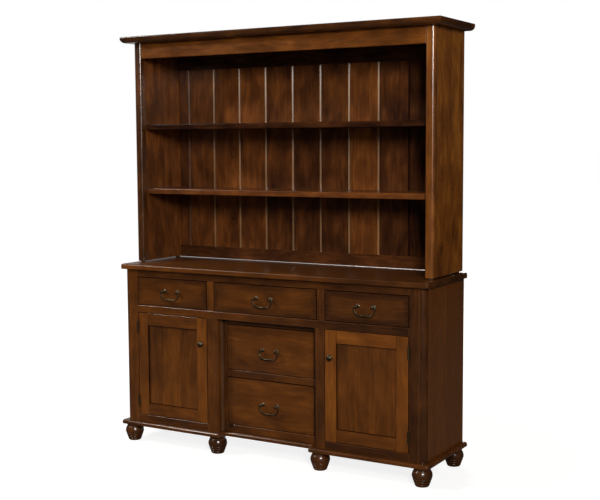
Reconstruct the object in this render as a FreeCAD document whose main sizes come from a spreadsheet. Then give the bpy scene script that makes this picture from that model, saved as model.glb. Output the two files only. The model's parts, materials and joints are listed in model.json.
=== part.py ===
import FreeCAD, Part
import math
import os
import types

import Sketcher

# Dresser with hutch: an open plank-backed hutch stands on a breakfront base with five drawers and two doors.
# Frame: x across with 0 at the middle, y from front to back, z up from the floor. All sizes in millimetres.

SIZES = {
    # base case and its face frame
    "body_width": 1588,
    "body_depth": 416,
    "frame_thick": 30,
    "corner_post": 76,
    "corner_round": 26,
    "quirk_width": 2.4,
    "quirk_depth": 1.6,
    "quirk_inset": 31,
    "side_bay": 406,
    "drawer_divider": 38,
    "inner_post": 56,
    "inner_round": 18,
    "bottom_rail": 35,
    "door_opening": 501,
    "middle_rail": 35,
    "row_opening": 138,
    "top_rail": 34,
    "recess_depth": 50,
    "recess_stile": 20,
    "recess_top_rail": 26,
    "recess_middle_rail": 33,
    "upper_deep_opening": 215,
    # case boards
    "side_thick": 20,
    "back_thick": 8,
    "partition_thick": 20,
    "floor_thick": 19,
    "dust_panel_thick": 12,
    # buffet top, base plate and feet
    "top_thick": 25,
    "top_overhang": 15,
    "top_corner": 10,
    "top_round": 8,
    "top_under_round": 3,
    "plate_thick": 19,
    "plate_overhang": 22,
    "plate_corner": 14,
    "plate_round": 10,
    "foot_height": 83,
    "foot_inset": 24,
    "foot_inner_inset": 20,
    "foot_rear_inset": 46,
    "foot_base_radius": 28.5,
    "foot_bead_height": 11.5,
    "foot_bead_curve": 16,
    "foot_notch": 1.2,
    "foot_belly_radius": 44.2,
    "foot_belly_height": 47,
    "foot_belly_swell": 3.2,
    "foot_neck_radius": 36.5,
    "foot_neck_height": 70,
    # cabinet fittings
    "shelf_height": 258,
    "shelf_thick": 18,
    "shelf_setback": 35,
    "shelf_play": 0.5,
    "cleat_width": 18,
    "cleat_height": 20,
    "stop_length": 50,
    "stop_depth": 34,
    "stop_height": 26,
    "stop_from_edge": 24,
    # drawers
    "front_thick": 20,
    "front_ease": 1.6,
    "drawer_gap": 3,
    "box_thick": 12,
    "box_rear_gap": 12,
    "box_bottom_thick": 6,
    "box_bottom_raise": 10,
    "bottom_groove": 5,
    "tail_length": 12,
    "tail_flare": 2,
    "pin_width": 9,
    "joint_play": 0.1,
    "row_box_height": 108,
    "deep_box_height": 172,
    "running_gap": 0.3,
    "runner_width": 33,
    "runner_height": 22,
    "guide_height": 18,
    "drawer_back_drop": 8,
    # bail pulls
    "pull_spacing": 76,
    "row_pull_lift": 8,
    "rosette_radius": 9.5,
    "rosette_thick": 2.2,
    "post_stem": 4,
    "post_ball": 6.5,
    "post_reach": 14,
    "bail_rod": 3,
    "bail_play": 0.05,
    "bail_width": 101.5,
    "bail_drop": 39,
    "bail_shoulder": 6,
    "bail_corner": 30,
    "bail_pin": 5,
    "bail_grip": 4.2,
    # doors, knobs and hinges
    "door_thick": 22,
    "door_stile": 58,
    "door_rail": 58,
    "door_ease": 1.6,
    "panel_set": 8,
    "panel_thick": 6,
    "panel_groove": 8,
    "panel_play": 0.5,
    "knob_height": 378,
    "knob_radius": 14,
    "knob_reach": 24,
    "knob_belly": 15,
    "knob_stem": 5.5,
    "knob_stem_length": 8,
    "knob_base_radius": 9,
    "knob_base_thick": 2,
    "knob_under_curve": 11,
    "knob_dome_curve": 18,
    "leaf_thick": 1,
    "leaf_gap": 0.2,
    "leaf_depth": 18,
    "barrel_radius": 4,
    "barrel_gap": 0.3,
    "hinge_pin_radius": 2,
    "hinge_pin_play": 0.05,
    "knuckle_height": 10,
    "knuckle_gap": 0.1,
    "tip_ball": 3.2,
    "hinge_from_end": 70,
    # hutch
    "hutch_inset": 8,
    "hutch_setback": 90,
    "hutch_height": 1052,
    "pad_thick": 6,
    "pad_radius": 12,
    "pad_inset": 20,
    "stile_width": 40,
    "stile_depth": 32,
    "stile_outer_round": 13,
    "stile_inner_round": 9,
    "hutch_side_thick": 38,
    "header_height": 74,
    "header_thick": 22,
    "header_setback": 4,
    "header_ease": 3,
    "hutch_shelf_thick": 26,
    "hutch_shelf_setback": 36,
    "hutch_shelf_ease": 4,
    "lower_shelf_rise": 328,
    "upper_shelf_rise": 638,
    "plank_pitch": 152,
    "plank_thick": 12,
    "plank_bevel_width": 6,
    "plank_bevel_depth": 4,
    "tongue_length": 5,
    "tongue_land": 1.5,
    "tongue_thick": 4,
    "tongue_play": 0.1,
    "plank_back_gap": 5,
    "back_rail_thick": 20,
    "back_lower_rail": 55,
    "back_rail_drop": 3,
    "back_upper_rail": 116,
    "back_rail_reveal": 5,
    "crown_thick": 30,
    "crown_overhang": 47,
    "crown_back_overhang": 5,
    "crown_under_round": 22,
    "crown_top_round": 4,
}

FOOT_BEADS = 3
KNUCKLES = 5
ROW_TAILS = 3
DEEP_TAILS = 5
FOOT_NAMES = ("front_left", "inner_left", "inner_right", "front_right", "rear_left", "rear_right")
LEFT, RIGHT = -1, 1
SIDES = {"left": LEFT, "right": RIGHT}
TOUCH = 1e-4


class Size:
    """A length in millimetres together with the sheet formula that gives it."""

    def __init__(self, formula, value):
        self.formula = formula
        self.value = value

    @staticmethod
    def of(thing):
        """A Size as it is, or a plain number as a Size."""
        if isinstance(thing, Size):
            return thing
        return Size(str(thing), float(thing))

    def __add__(self, other):
        other = Size.of(other)
        return Size(f"({self.formula} + {other.formula})", self.value + other.value)

    def __sub__(self, other):
        other = Size.of(other)
        return Size(f"({self.formula} - {other.formula})", self.value - other.value)

    def __mul__(self, other):
        other = Size.of(other)
        return Size(f"({self.formula} * {other.formula})", self.value * other.value)

    def __truediv__(self, other):
        other = Size.of(other)
        return Size(f"({self.formula} / {other.formula})", self.value / other.value)

    def __radd__(self, other):
        return Size.of(other) + self

    def __rsub__(self, other):
        return Size.of(other) - self

    def __rmul__(self, other):
        return Size.of(other) * self

    def __neg__(self):
        return 0 - self

    def larger(self, other):
        """The larger of two lengths."""
        return Size(f"max({self.formula}; {other.formula})", max(self.value, other.value))

    def leg(self, other):
        """The other short side of a right triangle with this as its long side."""
        square = self * self - other * other
        return Size(f"sqrt({square.formula})", math.sqrt(square.value))


doc = FreeCAD.newDocument("dresser_with_hutch")
sheet = doc.addObject("Spreadsheet::Sheet", "sizes")
for row, (alias, number) in enumerate(SIZES.items(), start=1):
    sheet.set(f"A{row}", alias)
    sheet.set(f"B{row}", str(number))
    sheet.setAlias(f"B{row}", alias)
doc.recompute()
s = types.SimpleNamespace(**{alias: Size(f"sizes.{alias}", float(sheet.get(alias))) for alias in SIZES})
nodes = {}
pockets = []

# Planes and levels that several pieces share
half_width = s.body_width / 2
front_reach = s.knob_reach.larger(s.plate_overhang).larger(s.top_overhang)
front = (front_reach - s.body_depth - s.crown_back_overhang) / 2
back = front + s.body_depth
case_front = front + s.frame_thick
case_back = back - s.back_thick
recess_front = front + s.recess_depth
recess_back = recess_front + s.frame_thick
bay_outer = half_width - s.corner_post
bay_inner = bay_outer - s.side_bay
centre_bay = bay_inner - s.drawer_divider
recess_wall = bay_inner - s.inner_post
recess_bay = recess_wall - s.recess_stile
partition_bay = recess_wall + s.partition_thick
side_face = half_width - s.side_thick

body_floor = s.foot_height + s.plate_thick
door_floor = body_floor + s.bottom_rail
door_top = door_floor + s.door_opening
row_floor = door_top + s.middle_rail
row_top = row_floor + s.row_opening
body_top = row_top + s.top_rail
top_face = body_top + s.top_thick
upper_deep_top = door_top - s.recess_top_rail
upper_deep_floor = upper_deep_top - s.upper_deep_opening
lower_deep_top = upper_deep_floor - s.recess_middle_rail

hutch_half = half_width - s.hutch_inset
hutch_front = front + s.hutch_setback
hutch_floor = top_face + s.pad_thick
hutch_top = hutch_floor + s.hutch_height
hutch_inside = hutch_half - s.hutch_side_thick
plank_back = back - s.plank_back_gap
plank_front = plank_back - s.plank_thick

reveal = 2 * s.leaf_thick + s.leaf_gap


def bind(thing, prop, size):
    """Ties one property of an object to the sheet."""
    thing.setExpression(prop, Size.of(size).formula)


def put(thing, x, y, z):
    """Ties an object's place to the sheet."""
    for axis, size in zip("xyz", (x, y, z)):
        bind(thing, f"Placement.Base.{axis}", size)


def sided(side, low, high):
    """A span of x on the left or right, from two distances off the middle."""
    if side == LEFT:
        return (-high, -low)
    return (low, high)


def board(label, x, y, z):
    """A square-edged board between two limits on each axis."""
    box = doc.addObject("Part::Box", label)
    for prop, (low, high) in zip(("Length", "Width", "Height"), (x, y, z)):
        bind(box, prop, high - low)
    put(box, x[0], y[0], z[0])
    return box


def rod(label, radius, length, x, y, z):
    """An upright round bar that starts at the given place."""
    bar = doc.addObject("Part::Cylinder", label)
    bind(bar, "Radius", radius)
    bind(bar, "Height", length)
    put(bar, x, y, z)
    return bar


def new_body(label, x, y, z):
    """A body whose own zero is at the given place."""
    body = doc.addObject("PartDesign::Body", label)
    put(body, x, y, z)
    return body


def corner(u, v, arrive, leave, radius):
    """The two ends of a rounded corner between two sides that run along the axes."""
    turn = arrive[0] * leave[1] - arrive[1] * leave[0]
    first = (u - arrive[0] * radius, v - arrive[1] * radius, turn * radius)
    last = (u + leave[0] * radius, v + leave[1] * radius)
    return [first, last]


def arc_through(start, end, bend):
    """An arc of under a half circle, turning left where bend is over zero and right where it's under."""
    run_u, run_v = end[0] - start[0], end[1] - start[1]
    chord = math.hypot(run_u, run_v)
    rise = math.copysign(math.sqrt(max(bend * bend - chord * chord / 4, 0)), bend)
    centre = FreeCAD.Vector(
        (start[0] + end[0]) / 2 - run_v / chord * rise, (start[1] + end[1]) / 2 + run_u / chord * rise, 0)
    ends = (start, end) if bend > 0 else (end, start)
    angles = [math.atan2(point[1] - centre.y, point[0] - centre.x) for point in ends]
    return Part.ArcOfCircle(Part.Circle(centre, FreeCAD.Vector(0, 0, 1), abs(bend)), *angles)


def outline(body, role, corners, flip=(1, 1), closed=True, offset=0):
    """A sketch through corners (u, v) or (u, v, bend), where bend is the radius of the side that follows."""
    sketch = body.newObject("Sketcher::SketchObject", "outline")
    origin_plane = next(item for item in body.Origin.OriginFeatures if item.Role == role)
    sketch.AttachmentSupport = [(origin_plane, "")]
    sketch.MapMode = "FlatFace"
    bind(sketch, "AttachmentOffset.Base.z", offset)
    points = [(Size.of(item[0]) * flip[0], Size.of(item[1]) * flip[1]) for item in corners]
    bends = [item[2] * (flip[0] * flip[1]) if len(item) > 2 else None for item in corners]
    count = len(points) if closed else len(points) - 1
    shapes, ends, sizes = [], [], []
    for side in range(count):
        start = tuple(size.value for size in points[side])
        end = tuple(size.value for size in points[(side + 1) % len(points)])
        bend = bends[side]
        if bend is None:
            shapes.append(Part.LineSegment(FreeCAD.Vector(*start, 0), FreeCAD.Vector(*end, 0)))
            ends.append((side, 1, 2))
            continue
        shapes.append(arc_through(start, end, bend.value))
        ends.append((side, 1, 2) if bend.value > 0 else (side, 2, 1))
        sizes.append((f"bend{side}", bend if bend.value > 0 else -bend, "Radius", side))
    sketch.addGeometry(shapes)
    joins = count if closed else count - 1
    links = []
    for index in range(joins):
        this, following = ends[index], ends[(index + 1) % count]
        links.append(Sketcher.Constraint("Coincident", this[0], this[2], following[0], following[1]))
    sketch.addConstraint(links)
    for index, (u, v) in enumerate(points):
        side, first, last = ends[min(index, count - 1)]
        point = last if index == count else first
        sizes.append((f"u{index}", u, "DistanceX", -1, 1, side, point))
        sizes.append((f"v{index}", v, "DistanceY", -1, 1, side, point))
    add_sizes(sketch, sizes)
    return sketch


def add_sizes(sketch, sizes):
    """Named dimensions of a sketch, each tied to the sheet."""
    limits = []
    for name, size, kind, *places in sizes:
        limit = Sketcher.Constraint(kind, *places, size.value)
        limit.Name = name
        limits.append(limit)
    sketch.addConstraint(limits)
    for name, size, *rest in sizes:
        bind(sketch, f"Constraints.{name}", size)


def circle(body, role, u, v, radius, offset=0):
    """A sketch of one circle."""
    sketch = body.newObject("Sketcher::SketchObject", "circle")
    origin_plane = next(item for item in body.Origin.OriginFeatures if item.Role == role)
    sketch.AttachmentSupport = [(origin_plane, "")]
    sketch.MapMode = "FlatFace"
    bind(sketch, "AttachmentOffset.Base.z", offset)
    u, v = Size.of(u), Size.of(v)
    centre = FreeCAD.Vector(u.value, v.value, 0)
    ring = sketch.addGeometry(Part.Circle(centre, FreeCAD.Vector(0, 0, 1), radius.value))
    add_sizes(sketch, [
        ("radius", radius, "Radius", ring),
        ("u", u, "DistanceX", -1, 1, ring, 3),
        ("v", v, "DistanceY", -1, 1, ring, 3),
    ])
    return sketch


def pad(body, sketch, length, backwards=False):
    """A sketch thickened along its plane's normal."""
    feature = body.newObject("PartDesign::Pad", "pad")
    feature.Profile = sketch
    feature.Reversed = backwards
    bind(feature, "Length", length)
    return feature


def pocket(body, sketch, depth, forwards):
    """A sketch cut into a body, along its plane's normal or against it."""
    feature = body.newObject("PartDesign::Pocket", "pocket")
    feature.Profile = sketch
    feature.Reversed = forwards
    bind(feature, "Length", depth)
    pockets.append(feature)


def turn(body, sketch, axis="V_Axis"):
    """A sketch turned once round its upright or its level axis."""
    feature = body.newObject("PartDesign::Revolution", "turning")
    feature.Profile = sketch
    feature.ReferenceAxis = (sketch, [axis])
    feature.Angle = 360
    return feature


def lies(edge, whole, axis, end):
    """Whether an edge lies in the lowest or highest plane of a solid along an axis."""
    place = getattr(whole, axis + end)
    low = getattr(edge.BoundBox, axis + "Min")
    high = getattr(edge.BoundBox, axis + "Max")
    return abs(low - place) < TOUCH and abs(high - place) < TOUCH


def ease(body, feature, radius, wanted):
    """Rounds the edges of a feature that the test picks out."""
    doc.recompute()
    whole = feature.Shape.BoundBox
    picked = [f"Edge{number}" for number, edge in enumerate(feature.Shape.Edges, 1) if wanted(edge, whole)]
    rounding = body.newObject("PartDesign::Fillet", "rounding")
    rounding.Base = (feature, picked)
    bind(rounding, "Radius", radius)
    return rounding


def rectangle(width, height):
    """The corners of a rectangle that starts at a sketch's zero."""
    return [(0, 0), (width, 0), (width, height), (0, height)]


def eased_board(label, x, y, z, radius, wanted):
    """A board with some of its edges rounded."""
    body = new_body(label, x[0], y[0], z[0])
    slab = pad(body, outline(body, "XY_Plane", rectangle(x[1] - x[0], y[1] - y[0])), z[1] - z[0])
    ease(body, slab, radius, wanted)
    return body


def front_edges(edge, whole):
    """All four edges of the front face."""
    return lies(edge, whole, "Y", "Min")


def front_arris(edge, whole):
    """The long upper and lower edges of the front face."""
    return lies(edge, whole, "Y", "Min") and (lies(edge, whole, "Z", "Min") or lies(edge, whole, "Z", "Max"))


def front_lower_arris(edge, whole):
    """The long lower edge of the front face."""
    return lies(edge, whole, "Y", "Min") and lies(edge, whole, "Z", "Min")


def upper_show_edges(edge, whole):
    """The edges of the top face, apart from the one at the back."""
    return lies(edge, whole, "Z", "Max") and not lies(edge, whole, "Y", "Max")


def lower_show_edges(edge, whole):
    """The edges of the bottom face, apart from the one at the back."""
    return lies(edge, whole, "Z", "Min") and not lies(edge, whole, "Y", "Max")


def node(label, *pieces):
    """Registers a sub-part: one piece, or a group of separate pieces."""
    piece = pieces[0]
    if len(pieces) > 1:
        piece = doc.addObject("Part::Compound", label)
        piece.Links = list(pieces)
    piece.Label = label
    nodes[label] = piece
    return piece


def upright_curve(across, along):
    """The radius of an arc that starts upright and covers two distances."""
    return (across * across + along * along) / (2 * across)


def make_feet():
    """Six turned bun feet: a taper of beads with notches between, a belly and a neck under the base plate."""
    inner = recess_wall + s.foot_inner_inset
    outer = half_width - s.foot_inset
    fore = front + s.foot_inset
    rear = back - s.foot_rear_inset
    centres = ((-outer, fore), (-inner, fore), (inner, fore), (outer, fore), (-outer, rear), (outer, rear))
    notch = s.foot_notch
    shoulder = s.foot_belly_radius - s.foot_belly_swell
    flare = (shoulder - s.foot_base_radius) / FOOT_BEADS
    profile = [(0, 0)]
    for number in range(FOOT_BEADS):
        low, start = number * s.foot_bead_height, s.foot_base_radius + number * flare
        profile += [(start - notch, low), (start, low + notch, s.foot_bead_curve)]
        profile += [(start + flare, low + s.foot_bead_height - notch)]
    bead_top = FOOT_BEADS * s.foot_bead_height
    lower_curve = upright_curve(s.foot_belly_swell, s.foot_belly_height - bead_top - notch)
    upper_curve = upright_curve(
        s.foot_belly_radius - s.foot_neck_radius, s.foot_neck_height - s.foot_belly_height)
    profile += [
        (shoulder - notch, bead_top),
        (shoulder, bead_top + notch, lower_curve),
        (s.foot_belly_radius, s.foot_belly_height, upper_curve),
        (s.foot_neck_radius, s.foot_neck_height),
        (s.foot_neck_radius, s.foot_height),
        (0, s.foot_height),
    ]
    feet = []
    for name, (x, y) in zip(FOOT_NAMES, centres):
        foot = new_body(f"foot_{name}", x, y, 0)
        turn(foot, outline(foot, "XZ_Plane", profile))
        feet.append(foot)
    node("bun_feet", *feet)


def make_base_plate():
    """The moulded plate under the case, which steps back with the recess."""
    reach = half_width + s.plate_overhang
    lip = -s.plate_overhang
    notch = recess_wall - s.plate_overhang
    step = s.recess_depth - s.plate_overhang
    round_over = s.plate_corner
    body = new_body("base_plate", 0, front, s.foot_height)
    corners = [(reach, s.body_depth), (-reach, s.body_depth)]
    corners += corner(-reach, lip, (0, -1), (1, 0), round_over)
    corners += corner(-notch, lip, (1, 0), (0, 1), round_over)
    corners += corner(-notch, step, (0, 1), (1, 0), round_over)
    corners += corner(notch, step, (1, 0), (0, -1), round_over)
    corners += corner(notch, lip, (0, -1), (1, 0), round_over)
    corners += corner(reach, lip, (1, 0), (0, 1), round_over)
    slab = pad(body, outline(body, "XY_Plane", corners), s.plate_thick)
    ease(body, slab, s.plate_round, upper_show_edges)
    node("base_plate", body)


def make_buffet_top():
    """The buffet top, rounded on its show edges."""
    reach = half_width + s.top_overhang
    body = new_body("buffet_top", 0, front, body_top)
    corners = [(reach, s.body_depth), (-reach, s.body_depth)]
    corners += corner(-reach, -s.top_overhang, (0, -1), (1, 0), s.top_corner)
    corners += corner(reach, -s.top_overhang, (1, 0), (0, 1), s.top_corner)
    slab = pad(body, outline(body, "XY_Plane", corners), s.top_thick)
    upper = ease(body, slab, s.top_round, upper_show_edges)
    ease(body, upper, s.top_under_round, lower_show_edges)
    node("buffet_top", body)


def make_corner_post(name, side):
    """A front corner post: a large outer round, and a quirk line on its face."""
    body = new_body(f"{name}_corner_post", side * half_width, front, body_floor)
    quirk = s.quirk_inset
    corners = [
        (0, s.frame_thick),
        (0, s.corner_round, s.corner_round),
        (s.corner_round, 0),
        (quirk - s.quirk_width / 2, 0),
        (quirk, s.quirk_depth),
        (quirk + s.quirk_width / 2, 0),
        (s.corner_post, 0),
        (s.corner_post, s.frame_thick),
    ]
    pad(body, outline(body, "XY_Plane", corners, flip=(-side, 1)), body_top - body_floor)
    node(f"{name}_corner_post", body)


def make_inner_post(name, side):
    """A post beside the recess, rounded towards it."""
    body = new_body(f"{name}_inner_post", side * bay_inner, front, body_floor)
    round_start = s.inner_post - s.inner_round
    corners = [
        (0, s.frame_thick),
        (0, 0),
        (round_start - s.quirk_width, 0),
        (round_start - s.quirk_width / 2, s.quirk_depth),
        (round_start, 0, s.inner_round),
        (s.inner_post, s.inner_round),
        (s.inner_post, s.frame_thick),
    ]
    pad(body, outline(body, "XY_Plane", corners, flip=(-side, 1)), door_top - body_floor)
    node(f"{name}_inner_post", body)


def make_face_frame():
    """The rails and drawer dividers between the corner posts, and the frame set back in the recess."""
    depth = (front, case_front)
    whole = (-bay_outer, bay_outer)
    pieces = [
        board("top_rail", whole, depth, (row_top, body_top)),
        board("middle_rail", whole, depth, (door_top, row_floor)),
    ]
    for name, side in SIDES.items():
        bay = sided(side, bay_inner, bay_outer)
        between_drawers = sided(side, centre_bay, bay_inner)
        pieces.append(board(f"{name}_bottom_rail", bay, depth, (body_floor, door_floor)))
        pieces.append(board(f"{name}_divider", between_drawers, depth, (row_floor, row_top)))
    node("face_frame", *pieces)

    depth = (recess_front, recess_back)
    between = (-recess_bay, recess_bay)
    pieces = [
        board("recess_top_rail", between, depth, (upper_deep_top, door_top)),
        board("recess_middle_rail", between, depth, (lower_deep_top, upper_deep_floor)),
        board("recess_bottom_rail", between, depth, (body_floor, door_floor)),
    ]
    for name, side in SIDES.items():
        edge = sided(side, recess_bay, recess_wall)
        pieces.append(board(f"{name}_recess_stile", edge, depth, (body_floor, door_top)))
    node("recess_frame", *pieces)


def make_case_boards():
    """Sides, back, partitions, floors and the dust panel under the drawer row."""
    depth = (case_front, case_back)
    for name, side in SIDES.items():
        label = f"base_{name}_side"
        across = sided(side, side_face, half_width)
        node(label, board(label, across, (case_front, back), (body_floor, body_top)))
    node("base_back", board("base_back", (-side_face, side_face), (case_back, back), (body_floor, body_top)))
    node("partitions", *[board(f"{name}_partition", sided(side, recess_wall, partition_bay), depth,
                               (body_floor, door_top)) for name, side in SIDES.items()])
    floor = (body_floor, body_floor + s.floor_thick)
    floors = [board(f"{name}_floor", sided(side, partition_bay, side_face), depth, floor)
              for name, side in SIDES.items()]
    floors.append(board("centre_floor", (-recess_wall, recess_wall), (recess_back, case_back), floor))
    node("cabinet_floors", *floors)
    dust_level = (door_top, door_top + s.dust_panel_thick)
    node("dust_panel", board("dust_panel", (-side_face, side_face), depth, dust_level))


def make_cabinet_fittings():
    """The shelf on cleats in each cabinet, and the block that each door closes against."""
    shelf_floor = body_floor + s.floor_thick + s.shelf_height
    depth = (case_front + s.shelf_setback, case_back)
    cleat_span = (shelf_floor - s.cleat_height, shelf_floor)
    shelves, cleats, stops = [], [], []
    for name, side in SIDES.items():
        span = sided(side, partition_bay + s.shelf_play, side_face - s.shelf_play)
        shelves.append(board(f"{name}_shelf", span, depth, (shelf_floor, shelf_floor + s.shelf_thick)))
        for place, low in (("outer", side_face - s.cleat_width), ("inner", partition_bay)):
            across = sided(side, low, low + s.cleat_width)
            cleats.append(board(f"{name}_{place}_cleat", across, depth, cleat_span))
        stop_start = bay_inner + s.stop_from_edge
        stops.append(board(f"{name}_stop", sided(side, stop_start, stop_start + s.stop_length),
                           (front + s.door_thick, front + s.door_thick + s.stop_depth),
                           (door_top - s.stop_height, door_top)))
    node("cabinet_shelves", *shelves)
    node("shelf_cleats", *cleats)
    node("door_stops", *stops)


def make_runners():
    """Wooden runners under the drawer sides, each with a guide strip that keeps the box in line."""
    pieces = []
    row_depth = (case_front, case_back)
    deep_depth = (recess_back, case_back)
    row_bed = (door_top + s.dust_panel_thick, row_floor)
    slack = s.drawer_gap - s.running_gap
    for name, side in SIDES.items():
        outer_edge = bay_outer - s.drawer_gap - s.box_thick
        inner_edges = (centre_bay - s.drawer_gap - s.box_thick, bay_inner + s.drawer_gap + s.box_thick)
        guide = (row_floor, row_floor + s.guide_height)
        outer_guide = sided(side, bay_outer - slack, side_face)
        inner_guide = sided(side, centre_bay - slack, bay_inner + slack)
        pieces.append(board(f"{name}_outer_runner", sided(side, outer_edge, side_face), row_depth, row_bed))
        pieces.append(board(f"{name}_outer_guide", outer_guide, row_depth, guide))
        pieces.append(board(f"{name}_inner_runner", sided(side, *inner_edges), row_depth, row_bed))
        pieces.append(board(f"{name}_inner_guide", inner_guide, row_depth, guide))
        deep_beds = {
            "upper": (upper_deep_floor - s.runner_height, upper_deep_floor),
            "lower": (body_floor + s.floor_thick, door_floor),
        }
        for place, bed in deep_beds.items():
            runner = sided(side, recess_wall - s.runner_width, recess_wall)
            deep_guide = sided(side, recess_bay - slack, recess_wall)
            level = (bed[1], bed[1] + s.guide_height)
            pieces.append(board(f"{name}_{place}_runner", runner, deep_depth, bed))
            pieces.append(board(f"{name}_{place}_guide", deep_guide, deep_depth, level))
    node("drawer_runners", *pieces)


def make_pull(label, x, y, z):
    """A bail pull: two turned posts on a drawer front, and a bail with a grip, whose ends turn in their eyes."""
    ball, stem = s.post_ball, s.post_stem
    profile = [
        (0, 0),
        (s.rosette_radius, 0),
        (s.rosette_radius, -s.rosette_thick / 2),
        (stem, -2 * s.rosette_thick),
        (stem, ball.leg(stem) - s.post_reach, -ball),
        (0, -s.post_reach - ball),
    ]
    posts = []
    for name, side in SIDES.items():
        post_x = x + side * s.pull_spacing / 2
        post = new_body(f"{label}_{name}_post", post_x, y, z)
        turn(post, outline(post, "XY_Plane", profile))
        eye_radius = s.bail_rod + s.bail_play
        eye = rod(f"{label}_{name}_eye", eye_radius, 2 * ball, post_x - ball, y - s.post_reach, z)
        eye.Placement.Rotation = FreeCAD.Rotation(FreeCAD.Vector(0, 1, 0), 90)
        drilled = doc.addObject("Part::Cut", f"{label}_{name}_drilled_post")
        drilled.Base = post
        drilled.Tool = eye
        posts.append(drilled)
    node(f"{label}_pull_posts", *posts)

    bail = new_body(f"{label}_bail", x, y - s.post_reach, z)
    reach, drop, shoulder, bend = s.bail_width / 2, s.bail_drop, s.bail_shoulder, s.bail_corner
    tip = s.pull_spacing / 2 - s.bail_pin
    path = [(-tip, 0)]
    path += corner(-reach, 0, (-1, 0), (0, -1), shoulder)
    path += corner(-reach, -drop, (0, -1), (1, 0), bend)
    path += corner(reach, -drop, (1, 0), (0, 1), bend)
    path += corner(reach, 0, (0, 1), (-1, 0), shoulder)
    path += [(tip, 0)]
    spine = outline(bail, "XZ_Plane", path, closed=False)
    section = circle(bail, "YZ_Plane", 0, 0, s.bail_rod, offset=-tip)
    pipe = bail.newObject("PartDesign::AdditivePipe", "bent_rod")
    pipe.Profile = section
    doc.recompute()
    pipe.Spine = (spine, [f"Edge{number}" for number in range(1, len(path))])
    half_grip = reach - bend
    swell = s.bail_grip - s.bail_rod
    curve = upright_curve(swell, half_grip)
    grip = outline(bail, "XZ_Plane", [(-half_grip, 0), (half_grip, 0), (half_grip, s.bail_rod, curve),
                                      (-half_grip, s.bail_rod)])
    bind(grip, "AttachmentOffset.Base.y", -drop)
    turn(bail, grip, "H_Axis")
    node(f"{label}_bail", bail)


def comb(height, tails, play):
    """The front edge of a drawer wall from its top to its floor: dovetails that reach into the front."""
    pitch = height / tails
    tip = (pitch - s.pin_width) / 2 + play
    root = tip - s.tail_flare
    corners = []
    for number in reversed(range(tails)):
        centre = (number + 0.5) * pitch
        corners += [(0, centre + root), (-s.tail_length - play, centre + tip)]
        corners += [(-s.tail_length - play, centre - tip), (0, centre - root)]
    return corners


def make_drawer_front(label, x, y, z, box_floor, box_height, tails):
    """An inset front with eased edges, a socket for each dovetail and a groove for the bottom."""
    body = eased_board(label, x, y, z, s.front_ease, front_edges)
    width = x[1] - x[0]
    behind = y[1] - y[0]
    lift = box_floor - z[0]
    teeth = [(behind + u, lift + v) for u, v in comb(box_height, tails, s.joint_play)]
    teeth = [(behind + s.box_thick, teeth[0][1])] + teeth + [(behind + s.box_thick, teeth[-1][1])]
    depth = s.box_thick + s.joint_play
    pocket(body, outline(body, "YZ_Plane", teeth), depth, forwards=True)
    pocket(body, outline(body, "YZ_Plane", teeth, offset=width), depth, forwards=False)
    floor = lift + s.box_bottom_raise
    groove = [(behind - s.bottom_groove, floor), (behind, floor), (behind, floor + s.box_bottom_thick),
              (behind - s.bottom_groove, floor + s.box_bottom_thick)]
    channel = outline(body, "YZ_Plane", groove, offset=s.box_thick)
    pocket(body, channel, width - 2 * s.box_thick, forwards=True)
    return body


def make_drawer_wall(label, side, outer_x, length, box_floor, height, tails):
    """A drawer side: dovetails at its front end, and the groove for the bottom on its inner face."""
    low_x = outer_x if side == LEFT else outer_x - s.box_thick
    body = new_body(label, low_x, length[0], box_floor)
    run = length[1] - length[0]
    corners = [(run, 0), (run, height), (0, height)] + comb(height, tails, 0) + [(0, 0)]
    pad(body, outline(body, "YZ_Plane", corners), s.box_thick)
    floor = s.box_bottom_raise
    groove = [(0, floor), (run, floor), (run, floor + s.box_bottom_thick), (0, floor + s.box_bottom_thick)]
    start = s.box_thick - s.bottom_groove if side == LEFT else 0
    pocket(body, outline(body, "YZ_Plane", groove, offset=start), s.bottom_groove, forwards=True)
    return body


def make_drawer_bottom(label, inside, length, floor):
    """A drawer bottom that slides into the grooves of both sides and of the front."""
    tuck = s.bottom_groove - s.joint_play
    body = new_body(label, inside[0], length[0], floor)
    width = inside[1] - inside[0]
    run = length[1] - length[0]
    corners = [(width, -tuck), (width, 0), (width + tuck, 0), (width + tuck, run)]
    corners += [(-tuck, run), (-tuck, 0), (0, 0), (0, -tuck)]
    pad(body, outline(body, "XY_Plane", corners), s.box_bottom_thick)
    return body


def make_drawer(label, x, z, face, box_height, tails, pull_lift):
    """A drawer for one opening: an inset front, and a box of two sides, a back and a bottom."""
    length = (face + s.front_thick, case_back - s.box_rear_gap)
    left, right = x[0] + s.drawer_gap, x[1] - s.drawer_gap
    inside = (left + s.box_thick, right - s.box_thick)
    box_floor = z[0] + s.running_gap
    bottom_floor = box_floor + s.box_bottom_raise
    node(f"{label}_front", make_drawer_front(
        f"{label}_front", (left, right), (face, length[0]), (z[0] + reveal, z[1] - reveal),
        box_floor, box_height, tails))
    walls = [make_drawer_wall(f"{label}_{name}_wall", side, outer, length, box_floor, box_height, tails)
             for (name, side), outer in zip(SIDES.items(), (left, right))]
    node(f"{label}_box", *walls,
         board(f"{label}_back_wall", inside, (length[1] - s.box_thick, length[1]),
               (bottom_floor + s.box_bottom_thick, box_floor + box_height - s.drawer_back_drop)),
         make_drawer_bottom(f"{label}_bottom", inside, length, bottom_floor))
    make_pull(label, (x[0] + x[1]) / 2, face, (z[0] + z[1]) / 2 + pull_lift)


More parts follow.
